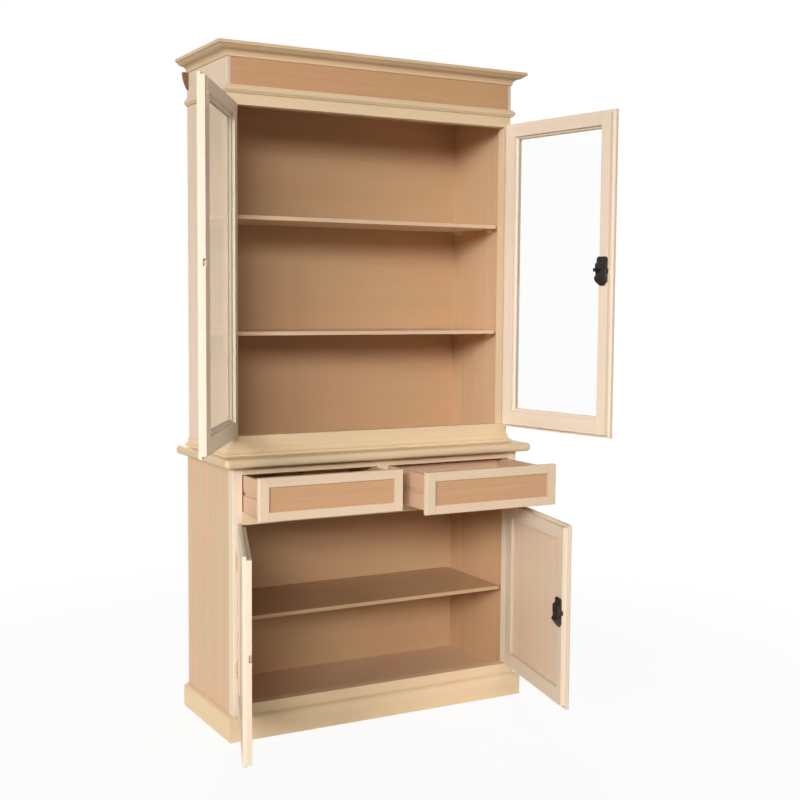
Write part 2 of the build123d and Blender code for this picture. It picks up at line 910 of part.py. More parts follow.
def lower_rails():
    levels = [(plinth_height, lower_opening_bottom), (lower_opening_top, drawer_opening_bottom),
              (drawer_opening_top, lower_case_top)]
    return frame_rails(levels, lower_left, front)


def upper_rails():
    levels = [(counter_top, upper_opening_bottom), (upper_opening_top, upper_case_top)]
    return frame_rails(levels, upper_left, upper_front)


# Locks on the right doors

def lock_level(door, height):
    return door.bottom + height


def lock_span(door):
    """X of the lock case at the meeting edge and at the glass side."""
    start = door.meeting_edge + door.side * lock_edge_inset
    return start, start + door.side * lock_case_width


def lock_channel(door, level):
    """Channel in the stile for the sunk half of the bolt, open at the door's edge."""
    half = lock_bolt_height / 2 + lock_bolt_clearance
    return block(door.meeting_edge - cut_margin, lock_span(door)[1] + lock_bolt_tail,
                 door.inner_face - lock_bolt_sunk - lock_bolt_clearance, door.inner_face + cut_margin,
                 level - half, level + half)


def keyhole_x(door):
    """Middle of the lock case."""
    start, end = lock_span(door)
    return (start + end) / 2


def keyhole(door, level):
    start = door.outer_face - escutcheon_thickness - cut_margin
    return rod_y(keyhole_x(door), start, door.inner_face + cut_margin, level - keyhole_drop, keyhole_radius)


def lock_stud_span(door):
    """X of the thumb stud's two sides, with the bolt drawn in."""
    end = lock_span(door)[1] - door.side * (lock_case_wall + lock_scallop_depth + lock_stud_clearance)
    return end - door.side * lock_stud_width, end


def strike_notch(door, level):
    """Notch in the left door's meeting edge for the lock bolt."""
    half = lock_bolt_height / 2 + strike_clearance
    return block(door.meeting_edge + cut_margin, door.meeting_edge - strike_depth,
                 door.inner_face - lock_bolt_sunk - strike_clearance, door.inner_face + cut_margin,
                 level - half, level + half)


def lock_shell(door, level):
    """Outside of the case: a plate with a deeper body, a beak below it, cut corners and a scallop."""
    x0, x1 = lock_span(door)
    half = lock_case_height / 2
    side = [(0, half), (lock_plate_thickness, half), (lock_plate_thickness, lock_plate_top),
            (lock_case_depth, lock_case_top), (lock_case_depth, -lock_case_bottom),
            (lock_beak_depth, -lock_beak_drop), (lock_plate_foot, -half), (0, -half)]
    shell = prism_x([(door.inner_face + y, level + z) for y, z in side], min(x0, x1), max(x0, x1))
    top_in = door.side * lock_top_cut
    bottom_in = door.side * lock_bottom_cut
    outline = [(x0 + top_in, half), (x1 - top_in, half), (x1, half - lock_top_cut),
               (x1, lock_bottom_cut - half), (x1 - bottom_in, -half), (x0 + bottom_in, -half),
               (x0, lock_bottom_cut - half), (x0, half - lock_top_cut)]
    shell &= prism_y([(x, level + z) for x, z in outline], door.inner_face, door.inner_face + lock_beak_depth)
    centre_x = x1 + door.side * (lock_scallop_radius - lock_scallop_depth)
    return shell - rod_y(centre_x, door.inner_face - cut_margin,
                         door.inner_face + lock_beak_depth + cut_margin, level - lock_scallop_drop,
                         lock_scallop_radius)


def lock_case(door, level, stud):
    """Hollow iron case, open towards the door, with a slot for the thumb stud where it has one."""
    x0, x1 = lock_span(door)
    y0 = door.inner_face
    wall = lock_case_wall
    inner_x = x1 - door.side * (wall + lock_scallop_depth)
    hollow = block(x0 + door.side * wall, inner_x, y0 - cut_margin, y0 + lock_case_depth - wall,
                   level - lock_case_bottom - 2 * wall, level + lock_case_top - wall)
    case = lock_shell(door, level) - hollow
    slot_half = lock_bolt_height / 2 + lock_bolt_clearance
    case -= block(x0 - door.side * cut_margin, x1 + door.side * cut_margin, y0 - cut_margin,
                  y0 + lock_bolt_raised + lock_bolt_clearance, level - slot_half, level + slot_half)
    window_y = y0 + lock_window_start
    for low, high in lock_windows:
        case -= block(x0 - door.side * cut_margin, x0 + door.side * (wall + cut_margin), window_y,
                      window_y + lock_window_depth, level + low, level + high)
    if stud:
        start, end = lock_stud_span(door)
        half = lock_stud_height / 2 + lock_stud_clearance
        case -= block(start - door.side * (lock_bolt_travel + lock_stud_clearance), inner_x,
                      y0 + lock_bolt_raised, y0 + lock_beak_depth, level + lock_stud_rise - half,
                      level + lock_stud_rise + half)
    return case


def escutcheon(door, level):
    """Oval-cornered plate round the keyhole on the outer face."""
    x = keyhole_x(door)
    z = level - keyhole_drop
    y1 = door.outer_face
    plate = block(x - escutcheon_width / 2, x + escutcheon_width / 2, y1 - escutcheon_thickness, y1,
                  z - escutcheon_height / 2, z + escutcheon_height / 2)
    plate = fillet(plate.edges().filter_by(Axis.Y), escutcheon_corner)
    return plate - keyhole(door, level)


def lock_body(door, level, stud):
    return [door.opened(lock_case(door, level, stud)), door.opened(escutcheon(door, level))]


def lock_bolt(door, level, stud):
    """Bolt bar with a talon for the key in its lower edge, and a thumb stud where the lock has one."""
    half = lock_bolt_height / 2
    bar = block(door.meeting_edge + door.side * lock_bolt_nose_inset,
                lock_span(door)[1] + door.side * lock_bolt_tail,
                door.inner_face - lock_bolt_sunk, door.inner_face + lock_bolt_raised,
                level - half, level + half)
    x = keyhole_x(door) + door.side * lock_bolt_travel / 2
    bottom = level - half
    bar -= block(x - lock_talon_half_width, x + lock_talon_half_width, door.inner_face - lock_case_depth,
                 door.inner_face + lock_case_depth, bottom - cut_margin, bottom + lock_talon_depth)
    if stud:
        start, end = lock_stud_span(door)
        z = level + lock_stud_rise
        bar += block(start, end, door.inner_face, door.inner_face + lock_case_depth + lock_stud_proud,
                     z - lock_stud_height / 2, z + lock_stud_height / 2)
    return door.opened(bar)


# Drawers

@dataclass(frozen=True)
class Drawer:
    """One drawer. The side is +1 for the right one and -1 for the left one."""

    name: str
    side: int
    pull: float

    @property
    def front_back(self):
        """Plane behind the drawer front, with the drawer pulled out."""
        return front - door_lip_gap - self.pull


left_drawer = Drawer("left_drawer", -1, left_drawer_pull)
right_drawer = Drawer("right_drawer", 1, right_drawer_pull)

drawer_box_outer = opening_half - drawer_side_gap
drawer_box_inner = divider_half + drawer_side_gap
drawer_box_bottom = drawer_opening_bottom + drawer_bottom_gap
drawer_box_top = drawer_opening_top - drawer_top_gap
groove_half = runner_height / 2 + runner_gap
groove_z = (drawer_box_bottom + drawer_box_top) / 2
runner_depth = runner_groove_depth - runner_tip_gap


def drawer_front_field(drawer):
    """X at the outer and inner edge, then Z at the bottom and top of the drawer front."""
    return (drawer.side * (opening_half + drawer_lip), drawer.side * (divider_half - drawer_lip),
            drawer_opening_bottom - drawer_lip, drawer_opening_top + drawer_lip)


def drawer_window(drawer):
    outer, inner, low, high = drawer_front_field(drawer)
    return (outer - drawer.side * drawer_front_stile, inner + drawer.side * drawer_front_stile,
            low + drawer_front_rail, high - drawer_front_rail)


def drawer_front_frame(drawer):
    """Two stiles and two rails with rounded outer edges, grooved for the panel."""
    y1 = drawer.front_back
    y0 = y1 - drawer_front_thickness
    board = field(drawer_front_field(drawer), y0, y1)
    board = fillet(board.faces().sort_by(Axis.Y)[0].edges(), drawer_front_round)
    window = drawer_window(drawer)
    panel_y = y0 + drawer_panel_recess
    groove = grown(window, drawer.side, panel_groove_depth)
    board -= field(window, y0 - cut_margin, y1 + cut_margin)
    board -= field(groove, panel_y - panel_groove_gap, panel_y + drawer_panel_thickness + panel_groove_gap)
    return split_frame(board, drawer.side, window)


def drawer_front_panel(drawer):
    panel = grown(drawer_window(drawer), drawer.side, panel_groove_depth - panel_groove_gap)
    y0 = drawer.front_back - drawer_front_thickness + drawer_panel_recess
    return field(panel, y0, y0 + drawer_panel_thickness)


def drawer_box(drawer):
    """Two grooved sides, an inner front, a lower back and a thin bottom let into grooves."""
    side = drawer.side
    y0 = drawer.front_back
    y1 = y0 + drawer_length
    low = drawer_box_bottom
    high = drawer_box_top
    outer = side * drawer_box_outer
    inner = side * drawer_box_inner
    wall = side * drawer_wall
    bottom_z = low + drawer_bottom_raise
    bottom = block(outer - wall + side * drawer_bottom_groove, inner + wall - side * drawer_bottom_groove,
                   y0 + drawer_wall - drawer_bottom_groove, y1, bottom_z, bottom_z + drawer_bottom_thickness)
    outer_side = block(outer, outer - wall, y0, y1, low, high)
    inner_side = block(inner, inner + wall, y0, y1, low, high)
    groove = side * runner_groove_depth
    outer_side -= block(outer + side * cut_margin, outer - groove, y0 + drawer_wall, y1 + cut_margin,
                        groove_z - groove_half, groove_z + groove_half)
    inner_side -= block(inner - side * cut_margin, inner + groove, y0 + drawer_wall, y1 + cut_margin,
                        groove_z - groove_half, groove_z + groove_half)
    inner_front = block(outer - wall, inner + wall, y0, y0 + drawer_wall, low, high)
    back = block(outer - wall, inner + wall, y1 - drawer_wall, y1,
                 bottom_z + drawer_bottom_thickness, high - drawer_back_drop)
    return [outer_side - bottom, inner_side - bottom, inner_front - bottom, back, bottom]


def drawer_runners():
    """Four wooden runners that reach into the grooves of the drawer sides."""
    z0 = groove_z - runner_height / 2
    z1 = groove_z + runner_height / 2
    outer = block(lower_inner_half, drawer_box_outer - runner_depth, frame_back, back_front, z0, z1)
    inner = block(partition_thickness / 2, drawer_box_inner + runner_depth, frame_back, back_front, z0, z1)
    return [mirrored(outer), mirrored(inner), inner, outer]


# All nodes by name

upper_lock_z = lock_level(upper_right, upper_lock_height)
lower_lock_z = lock_level(lower_right, lower_lock_height)


def carcass_nodes():
    lower_right_side = lower_side()
    upper_right_side = upper_side()
    right_frieze_side = frieze_side()
    return {
        "plinth_frame": plinth_frame(),
        "plinth_bearers": plinth_bearers(),
        "lower_side_left": [mirrored(lower_right_side)],
        "lower_side_right": [lower_right_side],
        "lower_back": [lower_back()],
        "lower_floor": [lower_floor()],
        "lower_stiles": lower_stiles(),
        "lower_rails": lower_rails(),
        "drawer_divider": [drawer_divider()],
        "drawer_partition": [drawer_partition()],
        "drawer_runners": drawer_runners(),
        "lower_shelf": [shelf(lower_shelf_top, lower_shelf_front)],
        "counter": [counter()],
        "upper_side_left": [mirrored(upper_right_side)],
        "upper_side_right": [upper_right_side],
        "upper_back": [upper_back()],
        "upper_floor": [upper_floor()],
        "upper_top": [upper_top()],
        "upper_stiles": upper_stiles(),
        "upper_rails": upper_rails(),
        "upper_shelves": [shelf(top, upper_shelf_front) for top in upper_shelf_tops],
        "shelf_pegs": shelf_pegs(),
        "base_moulding": moulding(base_moulding_profile(), upper_half, upper_front,
                                  base_moulding_projection, 0),
        "astragal": moulding(astragal_profile(), upper_half, upper_front, astragal_projection, 0),
        "frieze_board": [frieze_board()],
        "frieze_sides": [mirrored(right_frieze_side), right_frieze_side],
        "dust_board": [dust_board()],
        "cornice": cornice(),
        "hinge_frame_halves": frame_hinge_halves([upper_left, upper_right, lower_left, lower_right]),
    }


def left_door_nodes(door, lock_z, glazed):
    """Frame, filling, hinge leaves, bolt plates and bolts of a left door."""
    cuts = [strike_notch(door, lock_z), bolt_recess(door, door.top, -1, top_bolt_length),
            bolt_recess(door, door.bottom, 1, bottom_bolt_length)]
    name = door.name
    nodes = {
        name + "_door_frame": glazed_frame(door, cuts) if glazed else panelled_frame(door, cuts),
        name + "_door_leaves": door_leaves(door),
        name + "_bolt_plates": [bolt_plate(door, door.top, -1, top_bolt_length),
                                bolt_plate(door, door.bottom, 1, bottom_bolt_length)],
        name + "_top_bolt": [bolt_rod(door, door.top, -1, top_bolt_length)],
        name + "_bottom_bolt": [bolt_rod(door, door.bottom, 1, bottom_bolt_length)],
    }
    nodes.update(door_filling(door, glazed))
    return nodes


def right_door_nodes(door, lock_z, glazed):
    """Frame, filling, hinge leaves, lock and lock bolt of a right door. Only the glazed one has a stud."""
    cuts = [lock_channel(door, lock_z), keyhole(door, lock_z)]
    name = door.name
    nodes = {
        name + "_door_frame": glazed_frame(door, cuts) if glazed else panelled_frame(door, cuts),
        name + "_door_leaves": door_leaves(door),
        name + "_lock": lock_body(door, lock_z, glazed),
        name + "_lock_bolt": [lock_bolt(door, lock_z, glazed)],
    }
    nodes.update(door_filling(door, glazed))
    return nodes


def door_filling(door, glazed):
    if glazed:
        return {door.name + "_door_glass": [door_glass(door)]}
    return {door.name + "_door_panel": [door_panel(door)]}


def drawer_nodes(drawer):
    return {
        drawer.name + "_front_frame": drawer_front_frame(drawer),
        drawer.name + "_front_panel": [drawer_front_panel(drawer)],
        drawer.name + "_box": drawer_box(drawer),
    }


def all_nodes():
    nodes = carcass_nodes()
    nodes.update(left_door_nodes(upper_left, upper_lock_z, True))
    nodes.update(right_door_nodes(upper_right, upper_lock_z, True))
    nodes.update(left_door_nodes(lower_left, lower_lock_z, False))
    nodes.update(right_door_nodes(lower_right, lower_lock_z, False))
    nodes.update(drawer_nodes(left_drawer))
    nodes.update(drawer_nodes(right_drawer))
    return nodes


os.makedirs("parts", exist_ok=True)
for node_name, pieces in all_nodes().items():
    solids = [solid for piece in pieces for solid in piece.solids()]
    export_step(Compound(children=solids, label=node_name), "parts/" + node_name + ".step")
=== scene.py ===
"""Looks of the china cabinet: bare timber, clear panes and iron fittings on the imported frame."""

import logging
import math
from collections.abc import Sequence
from dataclasses import dataclass, replace
from enum import Enum, IntEnum

import bpy
import numpy as np
from mathutils import Matrix, Vector


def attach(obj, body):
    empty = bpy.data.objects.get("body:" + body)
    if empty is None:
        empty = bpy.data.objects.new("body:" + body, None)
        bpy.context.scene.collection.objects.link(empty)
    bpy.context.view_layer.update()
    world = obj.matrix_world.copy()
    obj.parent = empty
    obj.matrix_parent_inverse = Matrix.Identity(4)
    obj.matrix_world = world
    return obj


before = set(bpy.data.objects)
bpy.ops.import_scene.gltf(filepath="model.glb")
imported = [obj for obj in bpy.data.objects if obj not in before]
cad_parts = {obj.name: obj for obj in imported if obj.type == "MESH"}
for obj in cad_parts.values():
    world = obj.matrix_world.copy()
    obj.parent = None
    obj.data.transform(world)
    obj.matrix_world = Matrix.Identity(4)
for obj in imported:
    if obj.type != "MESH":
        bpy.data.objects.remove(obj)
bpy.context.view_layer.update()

LOG = logging.getLogger("china_cabinet")
MM = 0.001
UPPER_FACE = -139.5 * MM
LOWER_FACE = -191.5 * MM

Socket = bpy.types.NodeSocket
Material = bpy.types.Material
Rgb = tuple[float, float, float]
Point = tuple[float, float, float]
Band = tuple[float, float]

WHITE: Rgb = (1.0, 1.0, 1.0)
# Dark brown painted on the cornice's end blocks as painted shade.
PAINTED_SHADE_BROWN: Rgb = (0.30, 0.20, 0.13)


class Side(IntEnum):
    """Side of the cabinet, as the sign of X."""

    LEFT = -1
    RIGHT = 1


class Lay(Enum):
    """How a board lies: the axes along its fibres, across its face and through its thickness."""

    LEVEL_FRONT = (0, 2, 1)
    LEVEL_FLAT = (0, 1, 2)
    UPRIGHT_FRONT = (2, 0, 1)
    UPRIGHT_SIDE = (2, 1, 0)
    DEEP_SIDE = (1, 2, 0)

    @property
    def fibres(self) -> Point:
        """Unit vector along the fibres."""
        return tuple(1.0 if axis == self.value[0] else 0.0 for axis in range(3))


class Split(Enum):
    """How one node is divided into boards whose fibres run two ways."""

    NONE = "one direction"
    MEMBERS = "upright members and level members"
    MITRE = "front length and side lengths"


@dataclass(frozen=True)
class Turn:
    """Where a door stands at rest: a turn in degrees, by the right-hand rule, about an upright pin."""

    pivot_x: float
    pivot_y: float
    degrees: float

    def matrix(self) -> Matrix:
        """Takes a point on the closed door to where the door stands.

        Returns:
            The matrix of the turn.
        """
        pivot = Vector((self.pivot_x, self.pivot_y, 0.0))
        turn = Matrix.Rotation(math.radians(self.degrees), 4, "Z")
        return Matrix.Translation(pivot) @ turn @ Matrix.Translation(-pivot)


@dataclass(frozen=True)
class Layout:
    """How the timber lies in one node.

    Attributes:
        lay: Lie of the board, or of the upright members where the node is split.
        cross: Lie of the level members or of the side lengths.
        split: Kind of split.
        low: Lower X of the field between upright members, or X of the mitre's inner corner.
        high: Upper X of that field, or Y of the mitre's inner corner.
        seat: How far the side lengths of a mitre reach inwards from that corner.
        turn: Where the door stands, for a node on a door.
        board: Width of the boards that a wide panel is glued from; 0 for one board.
        block: Z under which, and X beyond which, a moulding's end blocks lie; they get painted shade in dark
            brown.
    """

    lay: Lay
    cross: Lay = Lay.LEVEL_FRONT
    split: Split = Split.NONE
    low: float = 0.0
    high: float = 0.0
    seat: float = 100.0 * MM
    turn: Turn | None = None
    board: float = 0.0
    block: Band | None = None


@dataclass(frozen=True)
class WoodFinish:
    """Colours and figure of one kind of bare timber.

    Attributes:
        name: Name of the finish.
        pale: Colour between the growth rings.
        deep: Colour of the rings' late wood and of dark streaks.
        blush: Colour of the slow drift across a board.
        ring: Mean distance between growth rings, in metres.
        figure: Strength of the rings, 0 to 1.
        streak: Strength of the broad streaks.
        fibre: Strength of the fine fibres.
        drift: Strength of the blush.
        inside: Tint of painted shade on the faces that look to the cabinet's middle.
    """

    name: str
    pale: Rgb
    deep: Rgb
    blush: Rgb
    ring: float = 0.007
    figure: float = 0.14
    streak: float = 0.28
    fibre: float = 0.18
    drift: float = 0.6
    inside: Rgb | None = None


CREAM = WoodFinish("cream_timber", (0.80, 0.63, 0.41), (0.71, 0.51, 0.31), (0.80, 0.585, 0.415))
CORNICE = WoodFinish("cornice_timber", (0.74, 0.56, 0.345), (0.63, 0.44, 0.25), (0.74, 0.515, 0.345),
                     streak=0.4)
PALE = WoodFinish("pale_door_timber", (0.79, 0.685, 0.535), (0.72, 0.585, 0.435), (0.79, 0.64, 0.53))
DRAWER_FRONT = WoodFinish("drawer_front_timber", (0.79, 0.64, 0.46), (0.71, 0.53, 0.35),
                          (0.79, 0.60, 0.455))
TAN = WoodFinish("tan_board", (0.62, 0.385, 0.21), (0.52, 0.29, 0.15), (0.64, 0.35, 0.215),
                 figure=0.22, streak=0.45, fibre=0.28, drift=0.7)
FRIEZE = WoodFinish("frieze_board", (0.60, 0.365, 0.185), (0.50, 0.27, 0.13), (0.62, 0.34, 0.195),
                    figure=0.16, streak=0.35, fibre=0.22, drift=0.8)
DOOR_PANEL = WoodFinish("door_panel_board", (0.79, 0.635, 0.46), (0.72, 0.545, 0.39), (0.80, 0.59, 0.46),
                        drift=0.7)
INNER = WoodFinish("inner_board", (0.565, 0.375, 0.21), (0.48, 0.295, 0.155), (0.585, 0.35, 0.21),
                   figure=0.10, streak=0.20, fibre=0.14, drift=0.7)
# The inside tints of the side boards are painted shade on their inner faces.
CASE_SIDE = WoodFinish("case_side_board", (0.785, 0.665, 0.50), (0.70, 0.555, 0.39), (0.795, 0.61, 0.49),
                       figure=0.12, streak=0.4, fibre=0.16, drift=0.7, inside=(0.84, 0.69, 0.55))
BASE_SIDE = WoodFinish("base_side_board", (0.68, 0.505, 0.315), (0.60, 0.41, 0.245), (0.71, 0.445, 0.315),
                       figure=0.12, streak=0.5, fibre=0.16, drift=0.8, inside=(0.90, 0.80, 0.69))
DRAWER = WoodFinish("drawer_side_timber", (0.63, 0.44, 0.285), (0.54, 0.35, 0.21), (0.64, 0.395, 0.275))
SHELF = WoodFinish("shelf_board", (0.74, 0.54, 0.36), (0.65, 0.44, 0.27), (0.75, 0.50, 0.36),
                   figure=0.10, streak=0.20)


class Nodes:
    """Adds shader nodes to a tree and links them."""

    def __init__(self, tree: bpy.types.NodeTree) -> None:
        """Takes the tree that gets the nodes."""
        self.tree = tree

    def add(self, kind: str, inputs: dict | None = None, **settings: object) -> bpy.types.Node:
        """Adds a node.

        Args:
            kind: Node type without the ShaderNode prefix.
            inputs: Values or sockets by input name or index.
            settings: Properties set on the node.

        Returns:
            The new node.
        """
        node = self.tree.nodes.new("ShaderNode" + kind)
        for name, value in settings.items():
            setattr(node, name, value)
        for name, value in (inputs or {}).items():
            self.put(node.inputs[name], value)
        return node

    def put(self, socket: Socket, value: object) -> None:
        """Links a socket to an input, or sets the input to a value.

        Args:
            socket: The input.
            value: Another node's output, or a constant.
        """
        if isinstance(value, Socket):
            self.tree.links.new(value, socket)
        else:
            socket.default_value = value

    def math(self, operation: str, a: object, b: object = 0.0) -> Socket:
        """A Math node's result."""
        return self.add("Math", {0: a, 1: b}, operation=operation).outputs[0]

    def plus(self, a: object, b: object) -> Socket:
        """Sum of two values."""
        return self.math("ADD", a, b)

    def minus(self, a: object, b: object) -> Socket:
        """First value less the second."""
        return self.math("SUBTRACT", a, b)

    def times(self, a: object, b: object) -> Socket:
        """Product of two values."""
        return self.math("MULTIPLY", a, b)

    def vector(self, operation: str, a: object, b: object) -> Socket:
        """A Vector Math node's vector."""
        return self.add("VectorMath", {0: a, 1: b}, operation=operation).outputs[0]

    def noise(self, vector: object, scale: float, detail: float = 2.0, rough: float = 0.5) -> Socket:
        """Value of a noise field."""
        inputs = {"Vector": vector, "Scale": scale, "Detail": detail, "Roughness": rough}
        return self.add("TexNoise", inputs).outputs["Fac"]

    def stretched(self, point: object, along: float, across: float, detail: float) -> Socket:
        """Noise drawn out along the fibres, in waves per metre, swinging about 0."""
        drawn = self.vector("MULTIPLY", point, (along, across, across))
        return self.minus(self.noise(drawn, 1.0, detail), 0.5)

    def ramp(self, value: object, low: float, high: float) -> Socket:
        """Smooth step from 0 at low to 1 at high."""
        inputs = {0: value, 1: low, 2: high}
        return self.add("MapRange", inputs, interpolation_type="SMOOTHSTEP").outputs[0]

    def mix(self, factor: object, a: object, b: object) -> Socket:
        """Mix of two colours."""
        return self.add("Mix", {0: factor, 6: a, 7: b}, data_type="RGBA").outputs[2]

    def mix_vectors(self, factor: object, a: object, b: object) -> Socket:
        """Mix of two vectors."""
        return self.add("Mix", {0: factor, 4: a, 5: b}, data_type="VECTOR").outputs[1]

    def shade(self, colour: object, value: object) -> Socket:
        """Colour times a grey value."""
        return self.add("VectorMath", {0: colour, "Scale": value}, operation="SCALE").outputs[0]


def rgba(colour: Rgb) -> tuple[float, float, float, float]:
    """Colour with full alpha."""
    return (*colour, 1.0)


def new_material(name: str) -> tuple[Material, Nodes, bpy.types.Node]:
    """Makes a material with a Principled shader alone.

    Args:
        name: Name of the material.

    Returns:
        The material, its node builder and its shader.
    """
    material = bpy.data.materials.new(name)
    material.use_nodes = True
    material.node_tree.nodes.clear()
    nodes = Nodes(material.node_tree)
    shader = nodes.add("BsdfPrincipled")
    nodes.add("OutputMaterial", {"Surface": shader.outputs[0]})
    return material, nodes, shader


class Timber:
    """Makes the timber materials, which share one node group."""

    # Inputs and outputs of the group, by kind.
    INPUTS = {"Vector": ["Point"], "Color": ["Pale", "Deep", "Blush"],
              "Float": ["Seed", "Board", "Ring", "Figure", "Streak", "Fibre", "Drift"]}
    OUTPUTS = {"Color": ["Colour"], "Float": ["Height", "Tone"]}

    # Noise fields: waves per metre along and across the fibres, and octaves.
    WARP = (1.7, 6.0, 2.0)
    STRANDS = (1.1, 26.0, 3.0)
    FIBRES = (5.0, 330.0, 3.0)
    PORES = (45.0, 1400.0, 1.0)
    MOTTLE = (2.2, 8.0, 3.0)

    # Bands: where a value starts to count, and where it counts in full.
    LATE_WOOD = (0.46, 0.72)
    OPEN_PORES = (0.17, 0.28)
    BLUSHING = (-0.12, 0.16)
    GLUE_LINE = (0.0, 0.0008)
    JOINT_LINE = (0.0001, 0.0006)
    END_GRAIN = (0.7, 0.95)
    # Cosines at which a face counts as looking to the middle, where the painted shade of the inside tint
    # falls.
    INWARD = (0.3, 0.6)

    # Steps of the noise from seed to seed, board to board and member to member, and their way.
    SEED_STEP = 7.31
    BOARD_STEP = 3.17
    SPLIT_STEP = 1.0
    CROSS_STEP = 5.3
    SIDE_STEP = 1.9
    SHIFT = (1.7, 0.43, 0.29)

    # Metres by which the pith lies behind the face and aside, falls along the board and bends.
    PITH_BEHIND = 0.12
    PITH_ASIDE = 0.2
    PITH_SLOPE = 0.02
    PITH_BEND = 0.06
    NARROWEST_BOARD = 0.001

    # How much each thing darkens or lightens the wood.
    STRAND_DEPTH = 2.2
    FIBRE_DEPTH = 1.6
    PORE_DEPTH = 0.16
    LEAST_DEEP = 0.12
    DIMMEST = 0.975
    BOARD_SWING = 0.05
    MOTTLE_SWING = 0.14
    GLUE_SHADE = 0.3
    JOINT_SHADE = 0.22
    END_SHADE = 0.10

    # The surface. The bump and the radius of the softened edges are in metres.
    FIBRE_HEIGHT = 0.6
    PORE_HEIGHT = 0.8
    ROUGHNESS = 0.60
    STRAND_ROUGHNESS = 0.15
    SOFT_EDGE = 0.0012
    RELIEF = 0.0004
    BUMP_STRENGTH = 0.3
    SPECULAR = 0.3

    def __init__(self) -> None:
        """Makes the node group."""
        self.group = self.build_group()

    def build_group(self) -> bpy.types.NodeTree:
        """Node group for bare timber.

        Growth rings are shells about a pith line that runs along the board, just behind it and
        slightly askew, so that they cut the surface in long arches. Their spacing is uneven and
        a slow warp bends them. Broad streaks, fine fibres and pores run with them, and a slow
        drift changes the tone. A wide panel is glued from boards that differ a little.

        Returns:
            The node group.
        """
        tree = bpy.data.node_groups.new("bare_timber", "ShaderNodeTree")
        for way, sockets in (("INPUT", self.INPUTS), ("OUTPUT", self.OUTPUTS)):
            for kind, names in sockets.items():
                for name in names:
                    tree.interface.new_socket(name, in_out=way, socket_type="NodeSocket" + kind)
        n = Nodes(tree)
        given = tree.nodes.new("NodeGroupInput").outputs
        along, across, depth = n.add("SeparateXYZ", {0: given["Point"]}).outputs

        wide = n.math("GREATER_THAN", given["Board"], self.NARROWEST_BOARD)
        width = n.math("MAXIMUM", given["Board"], self.NARROWEST_BOARD)
        place = n.math("DIVIDE", across, width)
        number = n.times(n.math("FLOOR", place), wide)
        key = n.plus(n.times(given["Seed"], self.SEED_STEP), n.times(number, self.BOARD_STEP))
        tone = n.add("TexWhiteNoise", {"W": key}, noise_dimensions="1D").outputs["Value"]
        fraction = n.math("FRACT", place)
        edge = n.times(n.math("MINIMUM", fraction, n.minus(1.0, fraction)), width)
        joint = n.times(n.minus(1.0, n.ramp(edge, *self.GLUE_LINE)), wide)

        steps = {axis: n.times(key, share) for axis, share in enumerate(self.SHIFT)}
        moved = n.vector("ADD", given["Point"], n.add("CombineXYZ", steps).outputs[0])
        warp = n.times(n.stretched(moved, *self.WARP), self.PITH_BEND)
        aside = n.minus(across, n.times(n.minus(tone, 0.5), self.PITH_ASIDE))
        behind = n.plus(n.plus(depth, self.PITH_BEHIND), n.plus(n.times(along, self.PITH_SLOPE), warp))
        radius = n.math("SQRT", n.plus(n.math("POWER", aside, 2.0), n.math("POWER", behind, 2.0)))
        inputs = {"W": n.math("DIVIDE", radius, given["Ring"]), "Scale": 1.0, "Detail": 2.0}
        wave = n.add("TexNoise", inputs, noise_dimensions="1D").outputs["Fac"]
        rings = n.times(n.ramp(wave, *self.LATE_WOOD), given["Figure"])

        strand = n.stretched(moved, *self.STRANDS)
        fibre = n.stretched(moved, *self.FIBRES)
        pores = n.ramp(n.stretched(moved, *self.PORES), *self.OPEN_PORES)
        mottle = n.stretched(moved, *self.MOTTLE)
        streak = n.times(n.times(strand, self.STRAND_DEPTH), given["Streak"])
        hair = n.times(n.times(fibre, self.FIBRE_DEPTH), given["Fibre"])
        deepness = n.plus(n.plus(rings, streak), n.plus(hair, n.times(pores, self.PORE_DEPTH)))
        blushing = n.times(n.ramp(mottle, *self.BLUSHING), given["Drift"])
        base = n.mix(blushing, given["Pale"], given["Blush"])
        deep_share = n.add("Clamp", {0: n.plus(deepness, self.LEAST_DEEP)}).outputs[0]
        colour = n.mix(deep_share, base, given["Deep"])
        bright = n.plus(self.DIMMEST, n.times(tone, self.BOARD_SWING))
        bright = n.plus(bright, n.times(mottle, self.MOTTLE_SWING))
        bright = n.times(bright, n.minus(1.0, n.times(joint, self.GLUE_SHADE)))
        sunk = n.plus(n.times(pores, self.PORE_HEIGHT), joint)
        height = n.minus(n.times(fibre, self.FIBRE_HEIGHT), sunk)
        leave = tree.nodes.new("NodeGroupOutput").inputs
        for name, socket in (("Colour", n.shade(colour, bright)), ("Height", height), ("Tone", strand)):
            tree.links.new(socket, leave[name])
        return tree

    def closed_point(self, n: Nodes, turn: Turn | None) -> tuple[Socket, Socket]:
        """Point and normal on the closed door for a point on the door as it stands.

        Args:
            n: Node builder.
            turn: Where the door stands, or None for a fixed piece.

        Returns:
            The point and the normal.
        """
        coordinates = n.add("TexCoord").outputs
        point, normal = coordinates["Object"], coordinates["Normal"]
        if turn is None:
            return point, normal
        back = -math.radians(turn.degrees)
        inputs = {"Vector": point, "Center": (turn.pivot_x, turn.pivot_y, 0.0), "Angle": back}
        point = n.add("VectorRotate", inputs, rotation_type="Z_AXIS").outputs[0]
        normal = n.add("VectorRotate", {"Vector": normal, "Angle": back}, rotation_type="Z_AXIS").outputs[0]
        return point, normal

    def laid(self, n: Nodes, point: Socket, lay: Lay) -> Socket:
        """Point with its first coordinate along the fibres, its second across the board."""
        split = n.add("SeparateXYZ", {0: point}).outputs
        return n.add("CombineXYZ", {i: split[k] for i, k in enumerate(lay.value)}).outputs[0]

